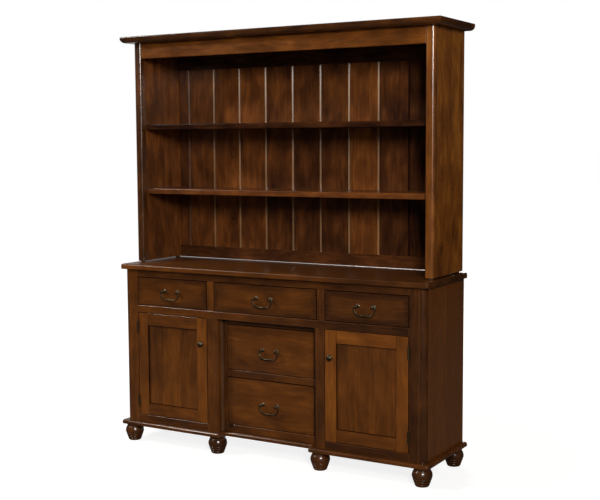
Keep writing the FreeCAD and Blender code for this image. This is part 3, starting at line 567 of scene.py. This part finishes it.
# The fronts of the deep drawers, which are hardly darker at their edges.
DEEP_FRONT = replace(DRAWER_FRONT, name="stained_alder_deep_drawer_fronts", rim_darkening=0.05)
# The front of the right drawer, with more streaks than clouds.
STREAKY_FRONT = replace(
    DRAWER_FRONT,
    name="stained_streaky_alder_drawer_front",
    blotch_share=0.30,
    streak_share=0.34,
    rim_darkening=0.18,
)
# The same alder inside the case, wiped with stain and left matt.
INNER = BoardFinish(
    "wiped_alder_inside",
    "inner_wood",
    ((0.10, "#3A2214"), (0.45, "#5B3A22"), (0.70, "#75502F"), (0.95, "#8C6540")),
    wear_and_highlight="#8C6540",
    roughness=(0.55, 0.68),
    coat=0.0,
)
# Hard maple under clear lacquer: pale and close grained, almost without figure.
MAPLE = BoardFinish(
    "clear_lacquered_maple",
    "drawer_box_wood",
    ((0.10, "#A98559"), (0.45, "#C6A678"), (0.70, "#D8BC90"), (0.95, "#E4CDA6")),
    wear_and_highlight="#E4CDA6",
    blotch_share=0.6,
    knot_chance=0.0,
    roughness=(0.38, 0.48),
    coat=0.1,
)
BRONZE = AgedBronze()
FELT = PressedFelt()


@dataclass
class BoardMesh:
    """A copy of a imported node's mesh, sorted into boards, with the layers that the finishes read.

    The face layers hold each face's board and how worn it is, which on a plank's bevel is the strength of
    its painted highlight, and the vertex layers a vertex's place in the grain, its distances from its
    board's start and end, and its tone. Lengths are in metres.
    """

    node: str
    segments: int = 3
    crease: float = math.radians(32)
    smooth: float = math.radians(40)
    flat: float = math.radians(0.3)
    merge: float = 1e-6
    contact: float = 5e-5
    probe: float = 3e-3
    long_edge: float = 0.1
    # From which part of its normal a face counts as turned that way.
    sideways: float = 0.3
    frontal: float = 0.98
    facing: float = 0.7
    slant_right: float = 0.1
    slant_front: float = 0.2
    top_edge: float = 3.0 * MM
    # How strongly the bevel itself takes the painted highlight, as a share of its arris.
    bevel_highlight_share: float = 0.3
    # The log that boards are sawn from, and how far into a stave a board starts, in millimetres.
    log_length: float = 4000.0
    stave_margin: float = 0.5

    def __post_init__(self) -> None:
        """Copies the mesh, adds the layers and numbers the boards."""
        self.bm = bmesh.new()
        self.bm.from_mesh(frame["nodes"][self.node].data)
        self.board = self.bm.faces.layers.int.new("board")
        self.wear_and_highlight = self.bm.faces.layers.float.new("edge")
        vectors = self.bm.verts.layers.float_vector
        self.place, self.from_start, self.from_end = map(vectors.new, ("grain", "from_start", "from_end"))
        self.tone = self.bm.verts.layers.float.new("tone")
        self.boards = self.number_boards()

    def number_boards(self) -> range:
        """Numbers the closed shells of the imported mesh, whose triangles are loose.

        Two triangles belong to one board where just the two of them meet at an edge.

        Returns:
            The numbers.
        """
        meets = defaultdict(list)
        for face in self.bm.faces:
            spots = [tuple(round(c / self.merge) for c in vert.co) for vert in face.verts]
            for pair in zip(spots, spots[1:] + spots[:1]):
                meets[frozenset(pair)].append(face)
        beside = defaultdict(list)
        for faces in meets.values():
            if len(faces) == 2:
                beside[faces[0]].append(faces[1])
                beside[faces[1]].append(faces[0])
        count = 0
        for start in self.bm.faces:
            if start[self.board]:
                continue
            count += 1
            start[self.board] = count
            waiting = [start]
            while waiting:
                for face in beside[waiting.pop()]:
                    if not face[self.board]:
                        face[self.board] = count
                        waiting.append(face)
        return range(1, count + 1)

    def parts(self, board: int) -> tuple[list[BMVert], list[BMEdge]]:
        """Lists the vertices and edges of one board, in the same order in every run.

        Args:
            board: The board's number.

        Returns:
            The vertices and the edges, each once.
        """
        faces = [face for face in self.bm.faces if face[self.board] == board]
        verts = dict.fromkeys(vert for face in faces for vert in face.verts)
        edges = dict.fromkeys(edge for face in faces for edge in face.edges)
        return list(verts), list(edges)

    def corners(self, board: int) -> tuple[Vector, Vector]:
        """Finds the lowest and the highest corner of a board's box."""
        axes = list(zip(*(vert.co for vert in self.parts(board)[0])))
        return Vector([min(axis) for axis in axes]), Vector([max(axis) for axis in axes])

    def ease(self, width: float) -> None:
        """Merges each board's triangles into whole faces and eases its sharp edges, except in flush joints.

        Args:
            width: Width of the eased edges.
        """
        self.bm.verts.index_update()
        spots = [vert.co.copy() for vert in self.bm.verts]
        faces = [[vert.index for vert in face.verts] for face in self.bm.faces]
        surfaces = BVHTree.FromPolygons(spots, faces)
        owners = [face[self.board] for face in self.bm.faces]
        for board in self.boards:
            others = [owner != board for owner in owners]
            verts, _ = self.parts(board)
            bmesh.ops.remove_doubles(self.bm, verts=verts, dist=self.merge)
            verts, edges = self.parts(board)
            bmesh.ops.dissolve_limit(self.bm, angle_limit=self.flat, verts=verts, edges=edges)
            _, edges = self.parts(board)
            sharp = [
                edge for edge in edges if len(edge.link_faces) == 2 and edge.calc_face_angle() > self.crease
            ]
            eased = bmesh.ops.bevel(
                self.bm,
                geom=[part for edge in sharp for part in self.free_parts(edge, surfaces, others)],
                offset=width,
                offset_type="OFFSET",
                segments=self.segments,
                profile=0.5,
                affect="EDGES",
                clamp_overlap=True,
                material=-1,
            )
            for face in eased["faces"]:
                face[self.board] = board
                face[self.wear_and_highlight] = 1.0

    def free_parts(self, edge: BMEdge, surfaces: BVHTree, others: list[bool]) -> list[BMEdge]:
        """Cuts an edge where it runs into or out of a joint with another board.

        Args:
            edge: The edge.
            surfaces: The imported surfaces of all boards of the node.
            others: Which faces of those surfaces belong to other boards.

        Returns:
            The parts of the edge that lie free.
        """
        vert, end = edge.verts
        length = edge.calc_length()
        steps = max(1, round(length / self.probe)) if length > self.long_edge else 1
        covered = []
        for step in range(steps):
            spot = vert.co.lerp(end.co, (step + 0.5) / steps)
            hits = surfaces.find_nearest_range(spot, self.contact)
            covered.append(any(others[hit[2]] for hit in hits))
        parts = []
        done = 0.0
        for step in range(1, steps):
            if covered[step] == covered[step - 1]:
                continue
            cut = step / steps
            near, vert = bmesh.utils.edge_split(edge, vert, (cut - done) / (1 - done))
            edge = next(other for other in vert.link_edges if end in other.verts)
            if not covered[step - 1]:
                parts.append(near)
            done = cut
        if not covered[-1]:
            parts.append(edge)
        return parts

    def write_grain(
        self, board: int, grain: Grain, tone: Tone, stave_width: float, draw: random.Random
    ) -> None:
        """Writes where each vertex of a board lies in its grain and between its ends, and the board's tone.

        Args:
            board: The board's number.
            grain: Which way the fibres run.
            tone: The board's tone, or the tones of its two ends.
            stave_width: Width of a stave in millimetres; a board starts with a whole one.
            draw: Where the board was sawn from the log is drawn from this.
        """
        low, high = self.corners(board)
        sides = high - low
        axes = sorted(range(3), key=lambda axis: -sides[axis])
        if grain is Grain.UPRIGHT:
            axes = [2, 0, 1]
        start = [draw.uniform(0.0, self.log_length) for _ in axes]
        start[1] = round(start[1] / stave_width) * stave_width + self.stave_margin
        first, last = tone if isinstance(tone, tuple) else (tone, tone)
        length = sides[axes[0]] / MM
        for vert in self.parts(board)[0]:
            along = [(vert.co[axis] - low[axis]) / MM for axis in axes]
            vert[self.place] = Vector([a + s for a, s in zip(along, start)])
            vert[self.from_start] = Vector(along)
            vert[self.from_end] = Vector([(high[axis] - vert.co[axis]) / MM for axis in axes])
            vert[self.tone] = first + (last - first) * along[0] / length

    def mark_dull_faces(self, where: DullFaces) -> None:
        """Marks the faces without lacquer, such as the sides that face a gap, which their finish makes dull
        and paints darker, for pooled stain and as painted shade.

        Args:
            where: Which sides and edges are marked.
        """
        top = max(vert.co.z for vert in self.bm.verts) - self.top_edge
        for face in self.bm.faces:
            face.normal_update()
            normal = face.normal
            if face[self.wear_and_highlight] or self.sideways < abs(normal.y) < self.frontal:
                clear = where is DullFaces.LOWER_EDGES and face.calc_center_median().z > top
                marked = where in (DullFaces.EDGES, DullFaces.LOWER_EDGES) and not clear
            elif where is DullFaces.LEFT_SIDES:
                marked = normal.x < -self.facing
            elif where is DullFaces.RIGHT_SIDES:
                marked = normal.x > self.facing
            elif where is DullFaces.TOPS:
                marked = normal.z > self.facing
            else:
                marked = abs(normal.y) < self.sideways
            # Painted shade: these faces take the darker, dull finish.
            if marked:
                face.material_index = UNLACQUERED
                face[self.wear_and_highlight] = 0.0

    def paint_bevel_light(self, board: int, share: float) -> None:
        """Paints a pale highlight on the front arris of a plank's right-hand bevel, and faintly on the bevel
        itself.

        Args:
            board: The board's number.
            share: How strong the painted highlight on the arris is; below 0 the bevel is painted darker and
                dull instead, as painted shade.
        """
        for face in self.bm.faces:
            if face[self.board] != board:
                continue
            face.normal_update()
            slanted = face.normal.x > self.slant_right and face.normal.y < -self.slant_front
            rounded = face[self.wear_and_highlight] > 0.0
            face[self.wear_and_highlight] = 0.0
            # Above 0 a pale painted highlight on the bevel; below 0 a painted shade, darker and dull.
            if slanted and share > 0:
                face[self.wear_and_highlight] = share if rounded else self.bevel_highlight_share * share
            elif slanted:
                face.material_index = UNLACQUERED

    def finish(self) -> Object:
        """Makes the finished object, smooth but for its sharp edges.

        Returns:
            The object.
        """
        for face in self.bm.faces:
            face.smooth = True
        for edge in self.bm.edges:
            edge.smooth = len(edge.link_faces) == 2 and edge.calc_face_angle() < self.smooth
        piece = add_object(f"{self.node}_finished", self.bm)
        weigh = piece.modifiers.new("even_faces", "WEIGHTED_NORMAL")
        weigh.keep_sharp = True
        return piece


@dataclass
class BoardShop:
    """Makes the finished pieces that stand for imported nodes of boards."""

    arris: float = 0.9
    # The body that each node rides on.
    bodies: dict[str, str] = field(
        default_factory=lambda: {
            node: body for body, nodes in frame["record"]["behaviour"]["bodies"].items() for node in nodes
        }
    )

    def dress(
        self,
        node: str,
        finish: BoardFinish,
        grain: Grain = Grain.LONGEST,
        tones: Sequence[Tone] = (),
        arris: float | None = None,
        bevel_light: Sequence[float] = (),
        dull_faces: DullFaces = DullFaces.NOWHERE,
    ) -> None:
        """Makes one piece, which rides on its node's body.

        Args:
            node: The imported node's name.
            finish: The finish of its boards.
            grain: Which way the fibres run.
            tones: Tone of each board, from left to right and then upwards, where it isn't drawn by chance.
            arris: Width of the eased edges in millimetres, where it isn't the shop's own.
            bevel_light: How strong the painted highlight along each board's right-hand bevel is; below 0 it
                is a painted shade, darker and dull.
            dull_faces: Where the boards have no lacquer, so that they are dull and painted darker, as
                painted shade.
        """
        mesh = BoardMesh(node)
        mesh.ease((arris or self.arris) * MM)
        draw = random.Random(node)
        # Boards are ranked by their middles, to a tenth of a millimetre.
        middles = {
            board: [round(low + high, 4) for low, high in zip(*mesh.corners(board))] for board in mesh.boards
        }
        for rank, board in enumerate(sorted(mesh.boards, key=lambda number: middles[number])):
            tone = tones[rank % len(tones)] if tones else draw.uniform(-1.0, 1.0)
            mesh.write_grain(board, grain, tone, finish.stave_width, draw)
            # Painted highlights and painted shade along the planks' joints.
            if bevel_light:
                mesh.paint_bevel_light(board, bevel_light[rank])
        if dull_faces is not DullFaces.NOWHERE:
            mesh.mark_dull_faces(dull_faces)
        piece = mesh.finish()
        faces = piece.data.polygons
        piece.data.materials.append(finish.material())
        if any(face.material_index for face in faces):
            piece.data.materials.append(finish.unlacquered().material())
        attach(piece, self.bodies[node])
        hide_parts(node)
        LOG.info("%s: %d boards, %d faces", piece.name, len(mesh.boards), len(faces))


@dataclass
class Screws:
    """Slotted bronze screws whose round heads face the back. Lengths are in millimetres."""

    radius: float = 4.5
    height: float = 2.4
    slot_width: float = 1.1
    slot_floor: float = 0.8
    slot_reach: float = 0.95
    rings: int = 6
    steps: int = 24
    merge: float = 1e-4

    def add(self, name: str, body: str, spots: Sequence[Triple]) -> None:
        """Adds a set of screws.

        Args:
            name: The piece's name.
            body: The body that the screws ride on.
            spots: Where the heads sit.
        """
        bm = bmesh.new()
        for spot in spots:
            self.head(bm, spot)
        bmesh.ops.recalc_face_normals(bm, faces=bm.faces)
        bmesh.ops.scale(bm, vec=(MM, MM, MM), verts=bm.verts)
        piece = add_object(name, bm)
        piece.data.materials.append(BRONZE.material())
        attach(piece, body)
        LOG.info("%s: %d screws, %d faces", name, len(spots), len(piece.data.polygons))

    def head(self, bm: BMesh, spot: Triple) -> None:
        """Builds one head: two half domes with the slot and its floor between them.

        Args:
            bm: The mesh that gets the head.
            spot: The middle of the head's underside.
        """
        half = self.slot_width / 2
        for side in (-1, 1):
            part = bmesh.new()
            angles = [math.pi / 2 * ring / self.rings for ring in range(self.rings + 1)]
            verts = [
                part.verts.new((self.radius * math.cos(angle), self.height * math.sin(angle), 0.0))
                for angle in angles
            ]
            edges = [part.edges.new(pair) for pair in zip(verts, verts[1:])]
            bmesh.ops.spin(
                part,
                geom=verts + edges,
                cent=(0.0, 0.0, 0.0),
                axis=(0.0, 1.0, 0.0),
                angle=2 * math.pi,
                steps=self.steps,
                use_merge=True,
            )
            bmesh.ops.remove_doubles(part, verts=part.verts, dist=self.merge)
            cut = bmesh.ops.bisect_plane(
                part,
                geom=part.verts[:] + part.edges[:] + part.faces[:],
                dist=self.merge / 10,
                plane_co=(side * half, 0.0, 0.0),
                plane_no=(side, 0.0, 0.0),
                clear_inner=True,
            )
            rim = [item for item in cut["geom_cut"] if isinstance(item, BMVert)]
            part.faces.new(sorted(rim, key=lambda vert: vert.co.z))
            self.join(bm, part, spot)
        part = bmesh.new()
        reach = math.sqrt(self.radius**2 - half**2) * self.slot_reach
        corners = ((-half, -reach), (half, -reach), (half, reach), (-half, reach))
        part.faces.new([part.verts.new((x, self.slot_floor, z)) for x, z in corners])
        self.join(bm, part, spot)

    @staticmethod
    def join(bm: BMesh, part: BMesh, spot: Triple) -> None:
        """Moves a part into place and adds it to a mesh.

        Args:
            bm: The mesh that gets the part.
            part: The part, which is used up.
            spot: Where its origin goes.
        """
        bmesh.ops.translate(part, vec=spot, verts=part.verts)
        mesh = bpy.data.meshes.new("part")
        part.to_mesh(mesh)
        part.free()
        bm.from_mesh(mesh)
        bpy.data.meshes.remove(mesh)


def box(node: str) -> list[Vector]:
    """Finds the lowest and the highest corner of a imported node, in millimetres."""
    return [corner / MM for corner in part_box(node)]


def assign(node: str, finish: Finish) -> None:
    """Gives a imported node, whose shape is right as it is, its finish.

    Args:
        node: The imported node's name.
        finish: The finish.
    """
    mesh = frame["nodes"][node].data
    mesh.materials.clear()
    mesh.materials.append(finish.material())
    LOG.info("%s: %s", node, finish.name)


@dataclass
class Hutch:
    """The upper case: open shelves in front of a planked back, under a crown."""

    shop: BoardShop
    # Finish and tone of each single board.
    boards: tuple[tuple[str, BoardFinish, Tone], ...] = (
        ("crown_top", CROWN, -0.9),
        ("hutch_header", FIGURED, 0.7),
        ("hutch_right_side", FIGURED, (1.2, 1.85)),
        ("hutch_left_stile", STILE, -0.4),
        ("hutch_right_stile", STILE, 1.6),
        ("hutch_left_side", SHELTERED, (0.5, 0.75)),
        ("hutch_lower_shelf", SHELTERED, 0.7),
        ("hutch_upper_shelf", DULL, -2.0),
    )
    inner_arris: float = 0.5
    # Tones of the eleven planks from left to right: the eighth is the pale one. A plank with two tones goes
    # from its foot to its top, and the middle planks are painted lighter towards their tops, as painted
    # light and shade for how the light falls in the bays.
    plank_tones: tuple[Tone, ...] = (
        -0.6, 0.4, (0.4, 0.6), (0.2, 0.6), (-0.6, 0.0), (-0.8, -0.2), (-0.9, -0.3), 0.8, -0.9, -1.4, -1.4
    )
    plank_arris: float = 2.4
    # Painted light at the joint on the right of each plank: above 0 a pale painted highlight on its bevel,
    # below 0 a painted shade, darker and dull, where the right side shades the joints.
    joint_painted_light: tuple[float, ...] = (0.1, 0.8, 0.9, 0.9, 0.9, 0.9, 1.0, 1.0, -1.0, -1.0, -1.0)
    rail_tones: tuple[Tone, ...] = (-0.4, -1.4)

    def build(self) -> None:
        """Builds and dresses every piece of the hutch."""
        for node, finish, tone in self.boards:
            arris = self.inner_arris if finish in (SHELTERED, DULL) else None
            dull_faces = DullFaces.TOPS if finish is CROWN else DullFaces.NOWHERE
            self.shop.dress(node, finish, tones=(tone,), arris=arris, dull_faces=dull_faces)
        self.shop.dress(
            "hutch_back_planks", PLANK, tones=self.plank_tones, arris=self.plank_arris, bevel_light=self.joint_painted_light
        )
        self.shop.dress("hutch_back_rails", SHELTERED, tones=self.rail_tones)
        assign("hutch_pads", FELT)


@dataclass
class Buffet:
    """The lower case: posts, frames, sides and floors on a moulded plate with bun feet."""

    shop: BoardShop
    frame_arris: float = 2.5
    # Finish of each node, tones of its boards from left to right and then upwards, and which faces are dull
    # and painted darker, for pooled stain and as painted shade in the gaps.
    shown: tuple[tuple[str, BoardFinish, tuple[Tone, ...], DullFaces], ...] = (
        # The top's left end is painted lighter, a painted sheen in place of the gloss that its rubbed finish
        # gives up.
        ("buffet_top", TOP, ((0.3, -1.2),), DullFaces.NOWHERE),
        ("left_corner_post", CASE, (0.4,), DullFaces.RIGHT_SIDES),
        ("right_corner_post", CASE, (-1.0,), DullFaces.LEFT_SIDES),
        ("left_inner_post", CASE, (-0.3,), DullFaces.LEFT_SIDES),
        ("right_inner_post", CASE, (-0.3,), DullFaces.RIGHT_SIDES),
        ("face_frame", CASE, (-0.5, 0.1, (0.3, -2.1), -0.9, -0.4, -1.0), DullFaces.SIDES),
        ("recess_frame", CASE, (-0.6, -0.3, -0.2, 0.0, -1.0), DullFaces.SIDES),
        ("base_left_side", EVEN, (0.2,), DullFaces.NOWHERE),
        ("base_right_side", EVEN, ((0.8, 0.5),), DullFaces.NOWHERE),
        ("base_plate", CASE, (0.0,), DullFaces.NOWHERE),
        ("cabinet_shelves", CASE, (0.0,), DullFaces.NOWHERE),
        ("door_stops", CASE, (0.0,), DullFaces.NOWHERE),
        ("shelf_cleats", CASE, (0.0,), DullFaces.NOWHERE),
    )
    hidden: tuple[str, ...] = ("base_back", "cabinet_floors", "drawer_runners", "dust_panel", "partitions")
    foot_tone: float = -0.8
    foot_arris: float = 0.4
    screw_inset: float = 12.0
    screws_across: int = 8
    screws_up: int = 4

    def build(self) -> None:
        """Builds and dresses every piece of the case."""
        for node, finish, tones, dull_faces in self.shown:
            self.shop.dress(node, finish, tones=tones, arris=self.frame_arris, dull_faces=dull_faces)
        for node in self.hidden:
            self.shop.dress(node, INNER)
        self.shop.dress("bun_feet", TURNED, Grain.UPRIGHT, tones=(self.foot_tone,), arris=self.foot_arris)
        self.add_back_screws()

    def add_back_screws(self) -> None:
        """Adds the screws round the edge of the back panel."""
        inset = Vector((self.screw_inset, 0.0, self.screw_inset))
        low, high = box("base_back")
        low += inset
        high -= inset
        spots = []
        for step in range(self.screws_across + 1):
            x = low.x + (high.x - low.x) * step / self.screws_across
            spots += [(x, high.y, low.z), (x, high.y, high.z)]
        for step in range(1, self.screws_up):
            z = low.z + (high.z - low.z) * step / self.screws_up
            spots += [(low.x, high.y, z), (high.x, high.y, z)]
        screws = Screws(radius=3.8, height=1.6, slot_width=0.9, slot_floor=0.6)
        screws.add("back_screws", self.shop.bodies["base_back"], spots)


@dataclass
class Drawer:
    """One drawer: a stained front on a dovetailed maple box, with a bail pull."""

    shop: BoardShop
    name: str
    tone: Tone
    finish: BoardFinish = DRAWER_FRONT
    post_radius: float = 9.5
    front_arris: float = 1.4
    box_arris: float = 0.4

    def build(self) -> None:
        """Builds and dresses the drawer, with the two bolts that hold its pull posts inside the front."""
        front = f"{self.name}_front"
        posts = f"{self.name}_pull_posts"
        # The front's sides and rounded edges are painted darker and dull, a painted shade round the drawer.
        self.shop.dress(
            front, self.finish, tones=(self.tone,), arris=self.front_arris, dull_faces=DullFaces.EDGES
        )
        self.shop.dress(f"{self.name}_box", MAPLE, arris=self.box_arris)
        assign(posts, BRONZE)
        assign(f"{self.name}_bail", BRONZE)
        low, high = box(posts)
        inside = box(front)[1].y
        places = (low.x + self.post_radius, high.x - self.post_radius)
        spots = [(place, inside, (low.z + high.z) / 2) for place in places]
        Screws().add(f"{self.name}_bolts", self.shop.bodies[front], spots)


@dataclass
class PanelDoor:
    """One frame and panel door with its knob and hinge leaves."""

    shop: BoardShop
    name: str
    frame_tones: tuple[Tone, ...]
    panel_tone: Tone
    frame_arris: float = 1.5

    def build(self) -> None:
        """Builds and dresses the door, with the bolt that holds its knob inside the frame."""
        stiles = f"{self.name}_frame"
        knob = f"{self.name}_knob"
        # The frame's sides and lower rounded edges are painted darker and dull, a painted shade round the
        # door.
        self.shop.dress(
            stiles, DOOR, tones=self.frame_tones, arris=self.frame_arris, dull_faces=DullFaces.LOWER_EDGES
        )
        self.shop.dress(f"{self.name}_panel", DOOR, tones=(self.panel_tone,))
        assign(knob, BRONZE)
        assign(f"{self.name}_hinge_leaves", BRONZE)
        low, high = box(knob)
        spot = ((low.x + high.x) / 2, box(stiles)[1].y, (low.z + high.z) / 2)
        Screws().add(f"{self.name}_bolt", self.shop.bodies[stiles], [spot])


@dataclass(frozen=True)
class Softbox:
    """A studio light with a rectangular face. Lengths are in metres, and the power in watts."""

    name: str
    spot: Triple
    aim: Triple
    size: Pair
    power: float
    colour: Triple = (1.0, 0.965, 0.92)

    def build(self) -> None:
        """Adds the light, which the camera doesn't see."""
        data = bpy.data.lights.new(self.name, "AREA")
        data.shape = "RECTANGLE"
        data.size, data.size_y = self.size
        data.energy = self.power
        data.color = self.colour
        lamp = add_object(self.name, data)
        lamp.visible_camera = False
        turn = (Vector(self.aim) - Vector(self.spot)).to_track_quat("-Z", "Y").to_matrix().to_4x4()
        lamp.matrix_world = Matrix.Translation(self.spot) @ turn


@dataclass
class Studio:
    """The camera, the lights, the white background and the floor."""

    lens: float = 66.393
    sensor: float = 36.0
    spot: Triple = (2.635, -4.373, 1.441)
    yaw: float = 30.343
    pitch: float = 5.458
    roll: float = -0.306
    lights: tuple[Softbox, ...] = (
        Softbox("key_softbox", (3.55, -4.65, 2.98), (0.0, 0.1, 1.2), (0.95, 1.3), 240.0),
        Softbox("strip_softbox", (3.55, -4.65, 2.0), (0.0, 0.1, 1.4), (0.7, 0.6), 9.0),
        Softbox("left_softbox", (-3.2, -2.4, 3.6), (-0.3, 0.0, 0.9), (0.8, 0.5), 105.0),
        Softbox("back_softbox", (-1.6, 4.6, 2.9), (-0.1, 0.2, 1.0), (1.2, 1.0), 150.0),
    )
    # The floor: its side, its paint, the paint that gloss mirrors, and how white it looks from near to far.
    floor_side: float = 60.0
    paint: str = "#949290"
    mirrored_paint: str = "#4C4B4A"
    floor_reach: Pair = (1.2, 3.5)
    floor_white: Pair = (0.85, 1.0)
    # The backdrop: how far it stands to the left of straight back, in degrees, the cosines at its edge and
    # where it is full, and how white gloss mirrors it.
    backdrop_turn: float = 50.0
    backdrop_edge: Pair = (0.90, 0.98)
    backdrop_white: float = 0.7
    # How bright the rest of the studio is, for light that falls on the object and for gloss.
    dim: Pair = (0.045, 0.015)

    def build(self) -> None:
        """Sets up the studio."""
        bpy.context.scene.view_settings.view_transform = "Standard"
        self.add_camera()
        self.add_floor()
        self.add_background()
        for light in self.lights:
            light.build()

    def add_camera(self) -> None:
        """Adds the camera at the photographed angle."""
        data = bpy.data.cameras.new("camera")
        data.lens = self.lens
        data.sensor_width = self.sensor
        data.sensor_fit = "HORIZONTAL"
        camera = add_object("camera", data)
        turn = (
            Matrix.Rotation(math.radians(self.yaw), 4, "Z")
            @ Matrix.Rotation(math.radians(90.0 - self.pitch), 4, "X")
            @ Matrix.Rotation(math.radians(self.roll), 4, "Z")
        )
        camera.matrix_world = Matrix.Translation(self.spot) @ turn
        bpy.context.scene.camera = camera

    def add_floor(self) -> None:
        """Adds the pale floor, which keeps the object's shadow."""
        bm = bmesh.new()
        bmesh.ops.create_grid(bm, x_segments=1, y_segments=1, size=self.floor_side / 2)
        floor = add_object("floor", bm)
        material = bpy.data.materials.new("matt_white_floor")
        tree = empty_tree(material)
        rays = add_node(tree, "LightPath")
        gloss = rays["Is Glossy Ray"]
        place = add_node(tree, "TexCoord")["Object"]
        radius = add_node(tree, "VectorMath", (place,), operation="LENGTH")["Value"]
        way = add_node(tree, "VectorMath", (place,), operation="NORMALIZE")[0]
        mirrored = self.mirrored_backdrop(tree, way, gloss)
        seen = add_node(tree, "Math", (rays["Is Camera Ray"], mirrored), operation="MAXIMUM")[0]
        colours = {0: gloss, 6: linear(self.paint), 7: linear(self.mirrored_paint)}
        grey = add_node(tree, "Mix", colours, data_type="RGBA")[2]
        paint = add_node(tree, "BsdfDiffuse", {"Color": grey, "Roughness": 0.0})[0]
        white = add_node(tree, "MapRange", (radius, *self.floor_reach, *self.floor_white))[0]
        lift = add_node(tree, "Math", (seen, white), operation="MULTIPLY")[0]
        glow = add_node(tree, "Emission", {"Strength": lift})[0]
        both = add_node(tree, "AddShader", (paint, glow))[0]
        add_node(tree, "OutputMaterial", {"Surface": both})
        floor.data.materials.append(material)

    def mirrored_backdrop(self, tree: NodeTree, way: NodeSocket, gloss: NodeSocket) -> NodeSocket:
        """Finds how white gloss mirrors the backdrop, which stands behind the object and to the left.

        Args:
            tree: The node tree that gets the nodes.
            way: The direction that is looked in.
            gloss: Whether it is gloss that looks.

        Returns:
            The whiteness, which is 0 past the backdrop's edge.
        """
        turn = math.radians(self.backdrop_turn)
        ahead = (-math.sin(turn), math.cos(turn), 0.0)
        facing = add_node(tree, "VectorMath", (way, ahead), operation="DOT_PRODUCT")["Value"]
        share = add_node(tree, "MapRange", (facing, *self.backdrop_edge, 0.0, self.backdrop_white))[0]
        return add_node(tree, "Math", (share, gloss), operation="MULTIPLY")[0]

    def add_background(self) -> None:
        """Sets the white background, and a dim studio for the light that falls on the object."""
        world = bpy.data.worlds.new("studio")
        bpy.context.scene.world = world
        tree = empty_tree(world)
        rays = add_node(tree, "LightPath")
        gloss = rays["Is Glossy Ray"]
        way = add_node(tree, "TexCoord")["Generated"]
        white = self.mirrored_backdrop(tree, way, gloss)
        for name in ("Is Camera Ray", "Is Transmission Ray"):
            white = add_node(tree, "Math", (white, rays[name]), operation="MAXIMUM")[0]
        dim = add_node(tree, "MapRange", (gloss, 0.0, 1.0, *self.dim))[0]
        strength = add_node(tree, "MapRange", (white, 0.0, 1.0, dim, 1.0))[0]
        sky = add_node(tree, "Background", {"Color": linear("#FFFFFF"), "Strength": strength})[0]
        add_node(tree, "OutputWorld", {"Surface": sky})


def main() -> None:
    """Builds the sub-assemblies and the studio."""
    logging.basicConfig(level=logging.INFO, format="%(name)s %(message)s")
    shop = BoardShop()
    Hutch(shop).build()
    Buffet(shop).build()
    drawers = (
        Drawer(shop, "left_drawer", (0.15, -0.45)),
        Drawer(shop, "centre_drawer", -0.2),
        Drawer(shop, "right_drawer", -0.7, STREAKY_FRONT),
        Drawer(shop, "upper_deep_drawer", 0.1, DEEP_FRONT),
        Drawer(shop, "lower_deep_drawer", 0.3, DEEP_FRONT),
    )
    for drawer in drawers:
        drawer.build()
    PanelDoor(shop, "left_door", (0.9, 0.2, 0.3, 1.2), (0.9, -0.3)).build()
    PanelDoor(shop, "right_door", (1.6, 0.5, 1.0, 0.6), -0.1).build()
    for node in ("hinge_frame_leaves", "hinge_pins"):
        assign(node, BRONZE)
    Studio().build()


if __name__ == "__main__":
    main()
